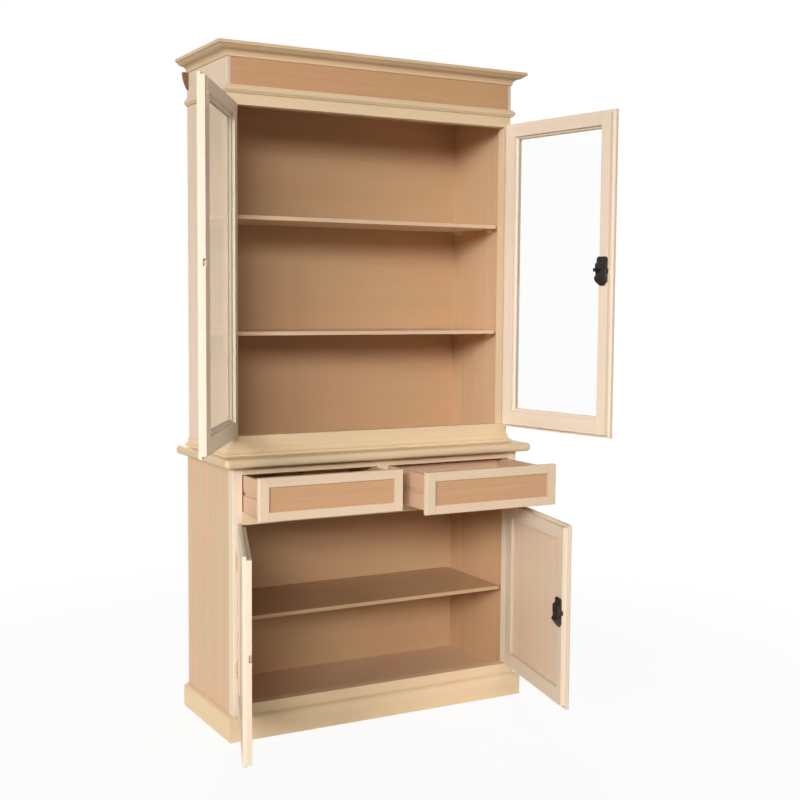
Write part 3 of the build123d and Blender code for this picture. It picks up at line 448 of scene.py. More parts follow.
    def cross_mask(self, n: Nodes, point: Socket, layout: Layout) -> tuple[Socket, Socket]:
        """Where the cross boards lie, and how far the surface is from the joint.

        Members are split at two values of X. A mitre is the line on which X has gone as far
        past its inner corner as Y has come out from its own, and its side lengths end where
        their seat does.

        Args:
            n: Node builder.
            point: Point on the closed piece.
            layout: Where the joints lie.

        Returns:
            A mask of 0 or 1, and the distance from the joint in metres.
        """
        x, y, _ = n.add("SeparateXYZ", {0: point}).outputs
        if layout.split is Split.MEMBERS:
            offset = n.math("ABSOLUTE", n.minus(x, (layout.low + layout.high) / 2))
            past = n.minus((layout.high - layout.low) / 2, offset)
        else:
            side = n.minus(n.math("ABSOLUTE", x), layout.low)
            past = n.minus(side, n.minus(layout.high, y))
            past = n.math("MINIMUM", past, n.plus(side, layout.seat))
        return n.math("GREATER_THAN", past, 0.0), n.math("ABSOLUTE", past)

    def material(self, name: str, finish: WoodFinish, layout: Layout, seed: float) -> Material:
        """Timber of one finish laid out for one node.

        Args:
            name: Name of the material.
            finish: Colours and figure.
            layout: Directions of the fibres in the node.
            seed: Number that sets this board's own figure.

        Returns:
            The material.
        """
        material, n, shader = new_material(name)
        point, normal = self.closed_point(n, layout.turn)
        x, _, z = n.add("SeparateXYZ", {0: point}).outputs
        lie = self.laid(n, point, layout.lay)
        fibres, own_seed, joint = layout.lay.fibres, seed, 0.0
        if layout.split is not Split.NONE:
            mask, distance = self.cross_mask(n, point, layout)
            lie = n.mix_vectors(mask, lie, self.laid(n, point, layout.cross))
            fibres = n.mix_vectors(mask, layout.lay.fibres, layout.cross.fibres)
            own_seed = n.plus(n.times(mask, self.CROSS_STEP), seed + self.SPLIT_STEP)
            own_seed = n.plus(own_seed, n.times(n.math("SIGN", x), self.SIDE_STEP))
            joint = n.minus(1.0, n.ramp(distance, *self.JOINT_LINE))
        timber = n.tree.nodes.new("ShaderNodeGroup")
        timber.node_tree = self.group
        values = {
            "Point": lie, "Seed": own_seed, "Board": layout.board,
            "Pale": rgba(finish.pale), "Deep": rgba(finish.deep), "Blush": rgba(finish.blush),
            "Ring": finish.ring, "Figure": finish.figure, "Streak": finish.streak,
            "Fibre": finish.fibre, "Drift": finish.drift,
        }
        for key, value in values.items():
            n.put(timber.inputs[key], value)

        facing = n.add("VectorMath", {0: normal, 1: fibres}, operation="DOT_PRODUCT").outputs["Value"]
        end_grain = n.ramp(n.math("ABSOLUTE", facing), *self.END_GRAIN)
        light = n.minus(1.0, n.times(end_grain, self.END_SHADE))
        light = n.times(light, n.minus(1.0, n.times(joint, self.JOINT_SHADE)))
        colour = n.shade(timber.outputs["Colour"], light)
        # Painted shade: faces that look to the cabinet's middle are tinted darker and warmer than the outer
        # faces.
        if finish.inside is not None:
            inward = n.times(n.add("SeparateXYZ", {0: normal}).outputs[0], n.math("SIGN", x))
            share = n.ramp(n.times(inward, -1.0), *self.INWARD)
            colour = n.vector("MULTIPLY", colour, n.mix(share, rgba(WHITE), rgba(finish.inside)))
        # Painted shade: the cornice's end blocks, under the frieze's top and outside the case's side, are
        # darkened to dark brown.
        if layout.block is not None:
            under = n.math("LESS_THAN", z, layout.block[0])
            beside = n.math("GREATER_THAN", n.math("ABSOLUTE", x), layout.block[1])
            painted_shade = n.mix(n.times(under, beside), rgba(WHITE), rgba(PAINTED_SHADE_BROWN))
            colour = n.vector("MULTIPLY", colour, painted_shade)
        rough = n.plus(self.ROUGHNESS, n.times(timber.outputs["Tone"], self.STRAND_ROUGHNESS))
        softened = n.add("Bevel", {"Radius": self.SOFT_EDGE}, samples=4).outputs[0]
        relief = {"Strength": self.BUMP_STRENGTH, "Distance": self.RELIEF, "Normal": softened,
                  "Height": n.minus(timber.outputs["Height"], joint)}
        n.put(shader.inputs["Base Color"], colour)
        n.put(shader.inputs["Roughness"], rough)
        n.put(shader.inputs["Normal"], n.add("Bump", relief).outputs[0])
        shader.inputs["Specular IOR Level"].default_value = self.SPECULAR
        return material


@dataclass(frozen=True)
class PaneFinish:
    """Look of thin clear glass.

    Attributes:
        name: Name of the material.
        tint: Colour of what is seen through it.
        straight: Share of the reflection where a face is seen straight on.
        grazing: How much that share grows towards grazing views.
    """

    name: str
    tint: Rgb
    straight: float
    grazing: float

    # Power by which the reflection grows; the dust's noise, its band and its roughness.
    GROWTH = 5.0
    DUST_NOISE = (9.0, 4.0, 0.6)
    DUST = (0.45, 0.8)
    DUST_ROUGHNESS = 0.06

    def material(self) -> Material:
        """Glass that lets light straight through and reflects a little, with a trace of dust.

        Returns:
            The material.
        """
        material, n, _ = new_material(self.name)
        n.tree.nodes.clear()
        dust = n.noise(n.add("TexCoord").outputs["Object"], *self.DUST_NOISE)
        rough = n.times(n.ramp(dust, *self.DUST), self.DUST_ROUGHNESS)
        gloss = n.add("BsdfGlossy", {"Color": rgba(WHITE), "Roughness": rough})
        clear = n.add("BsdfTransparent", {"Color": rgba(self.tint)})
        slant = n.math("POWER", n.add("LayerWeight", {"Blend": 0.5}).outputs["Facing"], self.GROWTH)
        share = n.plus(self.straight, n.times(slant, self.grazing))
        mixed = n.add("MixShader", {0: share, 1: clear.outputs[0], 2: gloss.outputs[0]})
        n.add("OutputMaterial", {"Surface": mixed.outputs[0]})
        return material


@dataclass(frozen=True)
class MetalFinish:
    """Look of one metal.

    Attributes:
        name: Name of the material.
        colour: Colour of the clean metal.
        worn: Colour of rubbed or spotted places.
        metallic: 0 for paint, 1 for bare metal.
        roughness: Mean roughness.
        grain: Scale of the surface's pitting, per metre.
        relief: Depth of the pitting, in metres.
    """

    name: str
    colour: Rgb
    worn: Rgb
    metallic: float
    roughness: float
    grain: float
    relief: float

    # How much larger worn places are than pits, their band, the swing of the roughness, the bump.
    PATCH = 9.0
    WORN = (0.5, 0.75)
    SWING = 0.2
    BUMP_STRENGTH = 0.4

    def material(self) -> Material:
        """The finish as a material, with fine pits and worn places.

        Returns:
            The material.
        """
        material, n, shader = new_material(self.name)
        point = n.add("TexCoord").outputs["Object"]
        pits = n.noise(point, self.grain, 4.0, 0.6)
        worn = n.ramp(n.noise(point, self.grain / self.PATCH, 3.0, 0.55), *self.WORN)
        rough = n.plus(self.roughness - self.SWING / 2, n.times(pits, self.SWING))
        relief = {"Strength": self.BUMP_STRENGTH, "Distance": self.relief, "Height": pits}
        n.put(shader.inputs["Base Color"], n.mix(worn, rgba(self.colour), rgba(self.worn)))
        n.put(shader.inputs["Roughness"], rough)
        n.put(shader.inputs["Normal"], n.add("Bump", relief).outputs[0])
        shader.inputs["Metallic"].default_value = self.metallic
        return material


PANE = PaneFinish("clear_pane", (0.992, 0.996, 0.994), 0.010, 0.35)
IRON = MetalFinish("black_iron_paint", (0.011, 0.008, 0.006), (0.028, 0.019, 0.013), 0.0, 0.56, 900.0, 0.0002)
STEEL = MetalFinish("dull_plated_steel", (0.76, 0.64, 0.47), (0.66, 0.52, 0.35), 0.5, 0.45, 1200.0, 0.00005)


class Workshop:
    """Holds the materials and gives them to the pieces."""

    SEED_START = 2.0
    SEED_STEP = 3.7

    def __init__(self) -> None:
        """Makes the materials that several pieces share."""
        self.timber = Timber()
        self.iron = IRON.material()
        self.steel = STEEL.material()
        self.pane = PANE.material()
        self.seed = self.SEED_START

    def put_on(self, node: str, material: Material) -> None:
        """Gives a CAD node one material in every slot.

        Args:
            node: Name of the node.
            material: Material that it gets.
        """
        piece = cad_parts[node]
        if not piece.data.materials:
            piece.data.materials.append(material)
        for slot in piece.material_slots:
            slot.material = material
        LOG.info("%s wears %s", node, material.name)

    def lay_timber(self, node: str, finish: WoodFinish, layout: Layout) -> None:
        """Gives a CAD node timber with a figure of its own."""
        self.seed += self.SEED_STEP
        self.put_on(node, self.timber.material(f"{finish.name}_{node}", finish, layout, self.seed))


@dataclass(frozen=True)
class Screw:
    """Countersunk screw head with a cross recess.

    Attributes:
        place: Centre of the seat on the closed door or the case, in metres.
        normal: Direction that the head faces.
        radius: Radius of the head.
    """

    place: Point
    normal: Point
    radius: float

    # Grid, then in radii: heights of dome and rim, the cross's depth, half width, reach and fade.
    RINGS = 9
    SPOKES = 28
    DOME = 0.16
    RIM = -0.12
    RECESS = 0.30
    ARM = 0.16
    REACH = 0.62
    FADE = 0.12

    def head(self, matrix: Matrix) -> tuple[np.ndarray, list[np.ndarray]]:
        """Mesh of the head.

        The head is a polar grid. Its height is a shallow dome, less a cross whose arms
        fall off smoothly to their sides and ends; its rim drops into the seat, where a
        flat fan closes it.

        Args:
            matrix: Takes its place to where it stands.

        Returns:
            The points, and the faces in blocks of one number of corners.
        """
        share = np.linspace(0.0, 1.0, self.RINGS + 1)[1:]
        angle = np.arange(self.SPOKES) * 2 * math.pi / self.SPOKES
        u = np.outer(share, np.cos(angle)).ravel()
        v = np.outer(share, np.sin(angle)).ravel()
        near = np.minimum(np.abs(u), np.abs(v))
        far = np.maximum(np.abs(u), np.abs(v))
        cross = np.clip(1 - near / self.ARM, 0, 1) * np.clip((self.REACH - far) / self.FADE, 0, 1)
        grid = np.stack([u, v, self.DOME * (1 - u**2 - v**2) - self.RECESS * cross], 1)
        grid[-self.SPOKES:, 2] = self.RIM
        centre, foot = [[0.0, 0.0, self.DOME - self.RECESS]], [[0.0, 0.0, self.RIM]]
        points = np.concatenate([centre, grid, foot]) * self.radius
        basis = Vector(self.normal).to_track_quat("Z", "Y").to_matrix().to_4x4()
        whole = np.array(matrix @ Matrix.Translation(Vector(self.place)) @ basis)
        here = np.arange(self.SPOKES)
        after = np.roll(here, -1)
        starts = 1 + np.arange(self.RINGS - 1)[:, None] * self.SPOKES
        inner, turned = (starts + here).ravel(), (starts + after).ravel()
        band = np.stack([inner, inner + self.SPOKES, turned + self.SPOKES, turned], 1)
        last = 1 + (self.RINGS - 1) * self.SPOKES
        top = np.stack([0 * here, 1 + here, 1 + after], 1)
        under = np.stack([0 * here + len(points) - 1, last + after, last + here], 1)
        return points @ whole[:3, :3].T + whole[:3, 3], [top, band, under]


def build_heads(name: str, screws: Sequence[Screw], matrix: Matrix, metal: Material,
                body: str) -> None:
    """Makes one piece of screw heads and lets it ride on a body.

    Args:
        name: Name of the piece.
        screws: The screws.
        matrix: Takes their places to where they stand at rest.
        metal: Material of the piece.
        body: Body that carries it.
    """
    points: list[list[float]] = []
    faces: list[list[int]] = []
    for screw in screws:
        head, blocks = screw.head(matrix)
        for block in blocks:
            faces += (block + len(points)).tolist()
        points += head.tolist()
    mesh = bpy.data.meshes.new(name)
    mesh.from_pydata(points, [], faces)
    mesh.polygons.foreach_set("use_smooth", [True] * len(mesh.polygons))
    mesh.materials.append(metal)
    mesh.update()
    piece = bpy.data.objects.new(name, mesh)
    bpy.context.scene.collection.objects.link(piece)
    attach(piece, body)
    LOG.info("%s has %d faces and rides on %s", name, len(faces), body)


@dataclass(frozen=True)
class Carcass:
    """The case: boards, face frames, counter, base and mouldings."""

    # Half widths of the two cases, and Z of the frieze's top edge, where the cornice starts.
    LOWER_HALF = 512.5 * MM
    UPPER_HALF = 507.0 * MM
    FRIEZE_TOP = 2067.0 * MM
    # How far the plinth's sides reach in under the case, and width of the case sides' boards.
    PLINTH_SEAT = 11.0 * MM
    BOARD = 120.0 * MM
    # How far under the frieze's top and outside the case's side the cornice's end blocks start, which are
    # painted dark as shade.
    BLOCK_UNDER = 0.3 * MM
    BLOCK_BESIDE = 0.2 * MM

    def mitred(self, half: float, face: float) -> Layout:
        """Layout of a moulding: a front length along X and side lengths along Y."""
        return Layout(Lay.LEVEL_FRONT, Lay.DEEP_SIDE, Split.MITRE, half, face)

    def plan(self) -> dict[str, tuple[WoodFinish, Layout]]:
        """Plans the timber of the case.

        Returns:
            Finish and layout of every board, by the node's name.
        """
        level, flat = Layout(Lay.LEVEL_FRONT), Layout(Lay.LEVEL_FLAT)
        upright, deep = Layout(Lay.UPRIGHT_FRONT), Layout(Lay.DEEP_SIDE)
        side = Layout(Lay.UPRIGHT_SIDE, board=self.BOARD)
        plinth = replace(self.mitred(self.LOWER_HALF, LOWER_FACE), seat=self.PLINTH_SEAT)
        upper = self.mitred(self.UPPER_HALF, UPPER_FACE)
        block = (self.FRIEZE_TOP - self.BLOCK_UNDER, self.UPPER_HALF + self.BLOCK_BESIDE)
        return {
            "plinth_frame": (CREAM, plinth),
            "plinth_bearers": (INNER, deep),
            "lower_side_left": (BASE_SIDE, side),
            "lower_side_right": (BASE_SIDE, side),
            "lower_back": (INNER, level),
            "lower_floor": (SHELF, flat),
            "lower_stiles": (PALE, upright),
            "lower_rails": (CREAM, level),
            "drawer_divider": (CREAM, upright),
            "drawer_partition": (INNER, deep),
            "drawer_runners": (INNER, deep),
            "lower_shelf": (INNER, flat),
            "counter": (CREAM, flat),
            "upper_side_left": (CASE_SIDE, side),
            "upper_side_right": (CASE_SIDE, side),
            "upper_back": (INNER, level),
            "upper_floor": (INNER, flat),
            "upper_top": (INNER, flat),
            "upper_stiles": (CREAM, upright),
            "upper_rails": (CREAM, level),
            "upper_shelves": (SHELF, flat),
            "shelf_pegs": (CREAM, level),
            "base_moulding": (CREAM, upper),
            "astragal": (CREAM, upper),
            "frieze_board": (FRIEZE, level),
            "frieze_sides": (CASE_SIDE, deep),
            "dust_board": (INNER, flat),
            "cornice": (CORNICE, replace(upper, block=block)),
        }

    def dress(self, shop: Workshop) -> None:
        """Gives every board its timber, and the fixed hinge halves their steel.

        Args:
            shop: Holds the materials.
        """
        for node, (finish, layout) in self.plan().items():
            shop.lay_timber(node, finish, layout)
        shop.put_on("hinge_frame_halves", shop.steel)


@dataclass(frozen=True)
class Door:
    """One door with its hinges, all places given on the closed door.

    Attributes:
        name: Start of the names of the door's nodes.
        side: Side on which it is hinged.
        angle: How far the door stands open, in degrees.
        face: Y of the face frame's front.
        bottom: Z of the door's bottom edge.
        top: Z of the door's top edge.
        hinges: Number of its hinges.
        ledge: How far the stiles reach into the field behind the lip.
    """

    name: str
    side: Side
    angle: float
    face: float
    bottom: float
    top: float
    hinges: int
    ledge: float

    # Half width of the opening, X where a pair's doors meet, and gap round a door's tongue.
    OPENING_HALF = 482.0 * MM
    MIDDLE = 3.5 * MM
    GAP = 1.5 * MM
    # How far the lip laps over the frame, and the inner face lies behind the frame's front.
    LIP = 11.0 * MM
    INWARD = 13.0 * MM
    # Distances of the pins from the lip's edge and before the frame, and widths of the stiles.
    PIN = (0.5 * MM, 4.5 * MM)
    HINGE_STILE = 42.0 * MM
    MEETING_STILE = 47.0 * MM
    # Distance of the end hinges from the door's ends, radius of a screw, step between screws.
    HINGE_END = 110.0 * MM
    SCREW = 2.6 * MM
    SCREW_STEP = 17.0 * MM
    # Screws on the door behind the frame's front; on the frame from the pins and before it.
    LEAF_BEHIND = 6.0 * MM
    FRAME_LEAF = (8.3 * MM, 1.2 * MM)

    @property
    def hinge_edge(self) -> float:
        """X of the tongue's edge at the hinges."""
        return self.side * (self.OPENING_HALF - self.GAP)

    @property
    def meeting_edge(self) -> float:
        """X of the tongue's edge at the other door."""
        return self.MIDDLE + self.side * self.GAP / 2 + self.LIP

    @property
    def axis_x(self) -> float:
        """X of the hinge pins."""
        return self.hinge_edge + self.side * (self.LIP + self.PIN[0])

    @property
    def inner_face(self) -> float:
        """Y of the door's inner face."""
        return self.face + self.INWARD

    @property
    def turn(self) -> Turn:
        """Where the door stands."""
        return Turn(self.axis_x, self.face - self.PIN[1], self.side * self.angle)

    @property
    def screw_levels(self) -> list[float]:
        """Heights of the screws, three to each of the evenly spaced hinges."""
        levels = np.linspace(self.bottom + self.HINGE_END, self.top - self.HINGE_END, self.hinges)
        return [z + step for z in levels.tolist() for step in (-self.SCREW_STEP, 0.0, self.SCREW_STEP)]

    def frame_layout(self) -> Layout:
        """Lays out the door's frame: upright stiles, and level rails between them.

        Returns:
            The layout.
        """
        a = self.hinge_edge - self.side * (self.HINGE_STILE + self.ledge)
        b = self.MIDDLE + self.side * (self.GAP / 2 + self.MEETING_STILE + self.ledge)
        return Layout(Lay.UPRIGHT_FRONT, Lay.LEVEL_FRONT, Split.MEMBERS, min(a, b), max(a, b), turn=self.turn)

    def leaf_screws(self) -> list[Screw]:
        """Screws in the leaves on the door."""
        x, y, normal = self.hinge_edge, self.face + self.LEAF_BEHIND, (self.side, 0, 0)
        return [Screw((x, y, z), normal, self.SCREW) for z in self.screw_levels]

    def frame_screws(self) -> list[Screw]:
        """Screws in the leaves on the face frame."""
        x, y = self.axis_x + self.side * self.FRAME_LEAF[0], self.face - self.FRAME_LEAF[1]
        return [Screw((x, y, z), (0, -1, 0), self.SCREW) for z in self.screw_levels]

    def dress_filling(self, shop: Workshop) -> None:
        """Gives the pane or the panel its material."""
        raise NotImplementedError

    def dress(self, shop: Workshop) -> None:
        """Gives the frame, the filling and the leaves their materials.

        Args:
            shop: Holds the materials.
        """
        shop.lay_timber(self.name + "_door_frame", PALE, self.frame_layout())
        shop.put_on(self.name + "_door_leaves", shop.steel)
        self.dress_filling(shop)

    def carry(self, part: str, screws: Sequence[Screw], metal: Material, slot: str) -> None:
        """Makes a piece of screw heads that rides on the door."""
        build_heads(self.name + part, screws, self.turn.matrix(), metal, self.name + "_door")

    def build_screws(self, shop: Workshop) -> None:
        """Makes the screws in the leaves on the door."""
        self.carry("_hinge_screws", self.leaf_screws(), shop.steel, "bright_steel")


@dataclass(frozen=True)
class GlazedDoor(Door):
    """An upper door, whose filling is a pane."""

    face: float = UPPER_FACE
    bottom: float = 931.0 * MM
    top: float = 1926.0 * MM
    hinges: int = 3
    ledge: float = 8.0 * MM

    def dress_filling(self, shop: Workshop) -> None:
        """Gives the pane its glass."""
        shop.put_on(self.name + "_door_glass", shop.pane)


@dataclass(frozen=True)
class PanelDoor(Door):
    """A lower door, whose filling is a board."""

    face: float = LOWER_FACE
    bottom: float = 109.5 * MM
    top: float = 662.5 * MM
    hinges: int = 2
    ledge: float = 0.0

    def dress_filling(self, shop: Workshop) -> None:
        """Gives the panel its timber."""
        upright = Layout(Lay.UPRIGHT_FRONT, turn=self.turn)
        shop.lay_timber(self.name + "_door_panel", DOOR_PANEL, upright)


@dataclass(frozen=True)
class FlushBolts:
    """Two flush bolts let into a left door."""

    door: Door

    # Distances of the rods from the meeting edge and of a plate from the door's end.
    INSET = 34.0 * MM
    FROM_END = 3.0 * MM
    # Lengths of the plates, radius of a screw head, and its distance from its plate's end.
    TOP_LENGTH = 66.0 * MM
    BOTTOM_LENGTH = 85.0 * MM
    SCREW = 2.2 * MM
    SCREW_END = 8.0 * MM

    def dress(self, shop: Workshop) -> None:
        """Gives the plates and the rods their steel."""
        for part in ("_bolt_plates", "_top_bolt", "_bottom_bolt"):
            shop.put_on(self.door.name + part, shop.steel)

    def build_screws(self, shop: Workshop) -> None:
        """Makes two screws in each plate, on its centre line.

        Args:
            shop: Holds the materials.
        """
        x = self.door.meeting_edge + self.door.side * self.INSET
        high, low = self.door.top - self.FROM_END, self.door.bottom + self.FROM_END
        ends = ((high, -1), (high - self.TOP_LENGTH, 1), (low, 1), (low + self.BOTTOM_LENGTH, -1))
        places = [(x, self.door.inner_face, z + way * self.SCREW_END) for z, way in ends]
        screws = [Screw(place, (0, 1, 0), self.SCREW) for place in places]
        self.door.carry("_bolt_screws", screws, shop.steel, "bright_steel")


@dataclass(frozen=True)
class RimLock:
    """Iron rim lock on a right door.

    Attributes:
        door: Door that carries it.
        height: Height of the lock's middle above the door's bottom edge.
    """

    door: Door
    height: float

    # Distance of the case from the meeting edge.
    START = 0.5 * MM
    # Two screws in the plate's head, one in its foot, two rivets in the case, and two pins in
    # the escutcheon, placed from the case's edge, the inner face and the middle.
    STUDS = (
        Screw((11.0 * MM, 5.0 * MM, 36.5 * MM), (0, 1, 0), 3.0 * MM),
        Screw((31.0 * MM, 5.0 * MM, 36.5 * MM), (0, 1, 0), 3.0 * MM),
        Screw((21.0 * MM, 6.8 * MM, -38.0 * MM), (0, 0.854, -0.52), 2.8 * MM),
        Screw((7.0 * MM, 12.5 * MM, 17.0 * MM), (0, 1, 0), 1.8 * MM),
        Screw((7.0 * MM, 12.5 * MM, -9.0 * MM), (0, 1, 0), 1.8 * MM),
        Screw((21.0 * MM, -26.5 * MM, -2.5 * MM), (0, -1, 0), 1.5 * MM),
        Screw((21.0 * MM, -26.5 * MM, -25.5 * MM), (0, -1, 0), 1.5 * MM),
    )

    def dress(self, shop: Workshop) -> None:
        """Gives the case and the bolt their black paint."""
        shop.put_on(self.door.name + "_lock", shop.iron)
        shop.put_on(self.door.name + "_lock_bolt", shop.iron)

    def build_screws(self, shop: Workshop) -> None:
        """Makes the heads of the screws, rivets and pins.

        Args:
            shop: Holds the materials.
        """
        door = self.door
        corner = Vector((door.meeting_edge + self.START, door.inner_face, door.bottom + self.height))
        screws = [replace(stud, place=tuple(corner + Vector(stud.place))) for stud in self.STUDS]
        door.carry("_lock_screws", screws, shop.iron, "black_iron")


@dataclass(frozen=True)
class Drawer:
    """One drawer.

    Attributes:
        name: Start of the names of the drawer's nodes.
        side: Side of the cabinet on which it is.
    """

    name: str
    side: Side

    # Distances of the front's ends from the middle, and width of its frame's uprights.
    OUTER = 491.0 * MM
    INNER = 11.0 * MM
    MEMBER = 31.0 * MM
    # Distance between the box and the front's ends, and thickness of the box's sides.
    GAP = 13.5 * MM
    WALL = 12.0 * MM

    def between(self, lay: Lay, cross: Lay, inset: float) -> Layout:
        """Layout split a given distance inside the front's two ends.

        Args:
            lay: Lie of the boards at the ends.
            cross: Lie of the boards between them.
            inset: Distance of the splits from the front's ends.

        Returns:
            The layout.
        """
        a = self.side * (self.OUTER - inset)
        b = self.side * (self.INNER + inset)
        return Layout(lay, cross, Split.MEMBERS, min(a, b), max(a, b))

    def dress(self, shop: Workshop) -> None:
        """Gives the front and the box their timber.

        Args:
            shop: Holds the materials.
        """
        front = self.between(Lay.UPRIGHT_FRONT, Lay.LEVEL_FRONT, self.MEMBER)
        box = self.between(Lay.DEEP_SIDE, Lay.LEVEL_FRONT, self.GAP + self.WALL)
        shop.lay_timber(self.name + "_front_frame", DRAWER_FRONT, front)
        shop.lay_timber(self.name + "_front_panel", TAN, Layout(Lay.LEVEL_FRONT))
        shop.lay_timber(self.name + "_box", DRAWER, box)


@dataclass(frozen=True)
class SoftBox:
    """One studio lamp.

    Attributes:
        name: Name of the lamp.
        azimuth: Degrees to the right of straight in front of the cabinet.
        elevation: Degrees above the target.
        level: How bright a white card is that faces it at the cabinet.
        colour: Colour of its light.
    """

    name: str
    azimuth: float
    elevation: float
    level: float
    colour: Rgb

    # Metres to the target, size of the face, and degrees aside that its grid lets light through.
    DISTANCE = 12.0
    WIDTH = 3.6
    HEIGHT = 2.4
    SPREAD = 18.0

    @property
    def power(self) -> float:
        """Power that gives the lamp's level at the target.

        The grid dims each point of the face by the tangent of the angle off its axis, over
        the tangent of the spread. The dimming is averaged over 41 by 41 points of the face.

        Returns:
            The power in watts.
        """
        half = math.radians(self.SPREAD)
        over = np.linspace(-0.5, 0.5, 41)
        slant = np.hypot(over[:, None] * self.WIDTH, over * self.HEIGHT) / self.DISTANCE
        passed = np.clip(1 - slant / math.tan(half), 0, None).mean()
        return self.level * (math.pi * self.DISTANCE) ** 2 * (1 - half / math.tan(half)) / passed

    def build(self, target: Point) -> None:
        """Makes the lamp, with the power that gives its level at the target.

        Args:
            target: Point that it faces.
        """
        lamp = bpy.data.lights.new(self.name, "AREA")
        lamp.shape = "RECTANGLE"
        lamp.size = self.WIDTH
        lamp.size_y = self.HEIGHT
        lamp.color = self.colour
        lamp.spread = 2 * math.radians(self.SPREAD)
        lamp.energy = self.power
        turn, rise = math.radians(self.azimuth), math.radians(self.elevation)
        out = Vector((math.sin(turn) * math.cos(rise), -math.cos(turn) * math.cos(rise), math.sin(rise)))
        holder = bpy.data.objects.new(self.name, lamp)
        holder.location = Vector(target) + out * self.DISTANCE
        holder.rotation_euler = (-out).to_track_quat("-Z", "Y").to_euler()
        bpy.context.scene.collection.objects.link(holder)


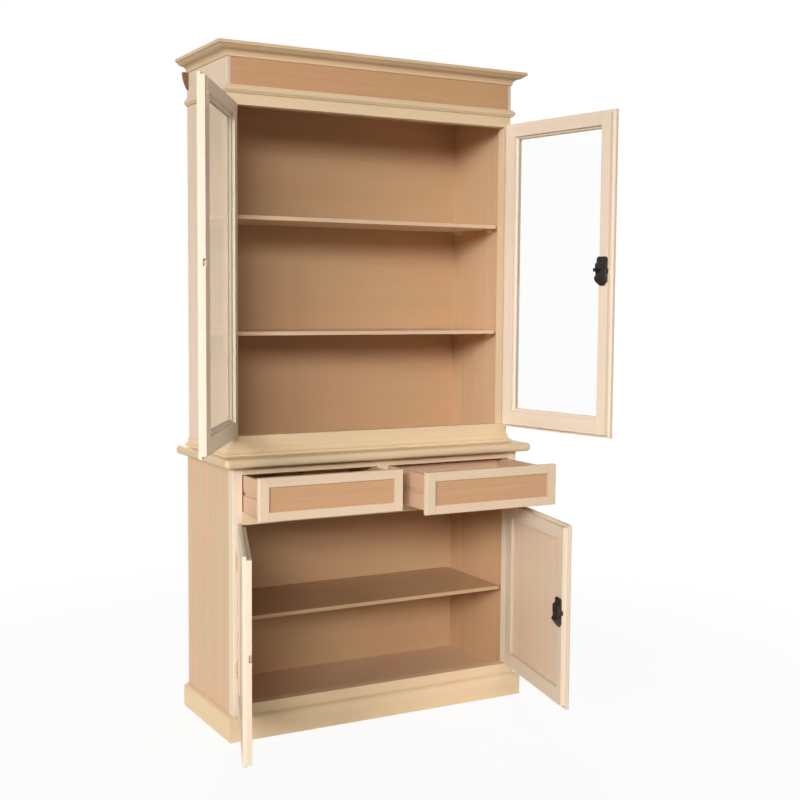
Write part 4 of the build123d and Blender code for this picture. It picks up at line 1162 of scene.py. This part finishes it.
class Studio:
    """Floor, white surround, lamps and camera."""

    # Light of the surround on the object, the lamps, and the point that they face.
    AMBIENT = (0.06, 0.04, 0.025)
    TARGET = (0.0, -0.1, 0.9)
    LAMPS = (
        SoftBox("key_box", -33.0, 16.0, 0.46, (1.0, 0.99, 0.97)),
        SoftBox("second_box", -55.0, 16.0, 0.45, WHITE),
        SoftBox("left_box", -80.0, 15.0, 0.20, (0.99, 0.99, 1.0)),
        SoftBox("front_box", -12.0, 16.0, 0.12, (1.0, 0.99, 0.97)),
        SoftBox("right_box", 93.0, 10.0, 0.30, (1.0, 0.98, 0.95)),
        SoftBox("rear_box", 160.0, 20.0, 0.45, (1.0, 0.99, 0.98)),
    )

    # The floor: half width, colour, roughness, and share of plain white that the eye sees in it
    # near the object, with the distances at which that share starts to grow, and is whole.
    FLOOR_REACH = 40.0
    FLOOR_COLOUR = (0.90, 0.88, 0.84)
    FLOOR_ROUGHNESS = 0.9
    FLOOR_WHITE = 0.93
    WHITE_BAND = (0.9, 2.6)

    # The camera: place, degrees of its turn to the right of straight back, of its tilt upwards
    # and about its own axis, focal length over film width, film width in mm, and reach.
    EYE = (-1.8989, -3.7241, 1.35005)
    YAW = 29.019
    PITCH = -4.567
    ROLL = 0.428
    LENS = 1.5768
    FILM = 36.0
    SIGHT = 200.0

    def build_floor(self) -> None:
        """Makes a pale floor that the eye sees as white, with the object's shadow on it."""
        reach = self.FLOOR_REACH
        corners = [(-reach, -reach, 0), (reach, -reach, 0), (reach, reach, 0), (-reach, reach, 0)]
        mesh = bpy.data.meshes.new("studio_floor")
        mesh.from_pydata(corners, [], [(0, 1, 2, 3)])
        floor = bpy.data.objects.new("studio_floor", mesh)
        bpy.context.scene.collection.objects.link(floor)
        material, n, shader = new_material("studio_floor")
        shader.inputs["Base Color"].default_value = rgba(self.FLOOR_COLOUR)
        shader.inputs["Roughness"].default_value = self.FLOOR_ROUGHNESS
        shader.inputs["Specular IOR Level"].default_value = 0.0
        length = n.add("VectorMath", {0: n.add("TexCoord").outputs["Object"]}, operation="LENGTH")
        away = n.ramp(length.outputs["Value"], *self.WHITE_BAND)
        white = n.plus(self.FLOOR_WHITE, n.times(away, 1 - self.FLOOR_WHITE))
        glow = n.add("Emission", {"Color": rgba(WHITE), "Strength": 1.0}).outputs[0]
        share = n.times(white, self.seen(n))
        mixed = n.add("MixShader", {0: share, 1: shader.outputs[0], 2: glow}).outputs[0]
        n.put(n.tree.nodes["Material Output"].inputs["Surface"], mixed)
        mesh.materials.append(material)

    def seen(self, n: Nodes) -> Socket:
        """Finds the rays of the eye: straight, mirrored or through glass.

        Args:
            n: Node builder.

        Returns:
            1 for those rays, 0 for others.
        """
        path = n.add("LightPath").outputs
        mirrored = n.math("MAXIMUM", path["Is Glossy Ray"], path["Is Transmission Ray"])
        return n.math("MAXIMUM", path["Is Camera Ray"], mirrored)

    def build_surround(self) -> None:
        """Makes a world that the eye sees as white and that lights the object softly."""
        world = bpy.data.worlds.new("studio")
        bpy.context.scene.world = world
        world.use_nodes = True
        world.node_tree.nodes.clear()
        n = Nodes(world.node_tree)
        colour = n.mix(self.seen(n), rgba(self.AMBIENT), rgba(WHITE))
        surround = n.add("Background", {"Color": colour, "Strength": 1.0}).outputs[0]
        n.add("OutputWorld", {"Surface": surround})

    def build_camera(self) -> None:
        """Makes the camera where the photograph was taken from."""
        lens = bpy.data.cameras.new("view")
        lens.sensor_width = self.FILM
        lens.lens = self.LENS * self.FILM
        lens.clip_end = self.SIGHT
        camera = bpy.data.objects.new("view", lens)
        yaw = Matrix.Rotation(-math.radians(self.YAW), 4, "Z")
        pitch = Matrix.Rotation(math.radians(90.0 + self.PITCH), 4, "X")
        roll = Matrix.Rotation(math.radians(self.ROLL), 4, "Z")
        camera.matrix_world = Matrix.Translation(self.EYE) @ yaw @ pitch @ roll
        bpy.context.scene.collection.objects.link(camera)
        bpy.context.scene.camera = camera

    def build(self) -> None:
        """Makes the whole studio."""
        bpy.context.scene.view_settings.view_transform = "Standard"
        self.build_camera()
        self.build_floor()
        self.build_surround()
        for lamp in self.LAMPS:
            lamp.build(self.TARGET)
        LOG.info("studio has %d lamps", len(self.LAMPS))


@dataclass(frozen=True)
class ChinaCabinet:
    """The whole cabinet: case, doors with their fittings, and drawers."""

    carcass: Carcass = Carcass()
    upper_left: Door = GlazedDoor("upper_left", Side.LEFT, 121.3)
    upper_right: Door = GlazedDoor("upper_right", Side.RIGHT, 99.5)
    lower_left: Door = PanelDoor("lower_left", Side.LEFT, 110.2)
    lower_right: Door = PanelDoor("lower_right", Side.RIGHT, 77.5)
    drawers: tuple[Drawer, ...] = (Drawer("left_drawer", Side.LEFT), Drawer("right_drawer", Side.RIGHT))

    def build(self, shop: Workshop) -> None:
        """Dresses every CAD node and makes the small fasteners.

        Args:
            shop: Holds the materials.
        """
        doors = (self.upper_left, self.upper_right, self.lower_left, self.lower_right)
        bolts = (FlushBolts(self.upper_left), FlushBolts(self.lower_left))
        locks = (RimLock(self.upper_right, height=510.5 * MM), RimLock(self.lower_right, height=288.0 * MM))
        self.carcass.dress(shop)
        for part in (*doors, *bolts, *locks):
            part.dress(shop)
            part.build_screws(shop)
        for drawer in self.drawers:
            drawer.dress(shop)
        screws = [screw for door in doors for screw in door.frame_screws()]
        build_heads("hinge_frame_screws", screws, Matrix.Identity(4), shop.steel, "carcass")


def main() -> None:
    """Builds the studio and dresses the cabinet."""
    logging.basicConfig(level=logging.INFO)
    Studio().build()
    ChinaCabinet().build(Workshop())


if __name__ == "__main__":
    main()
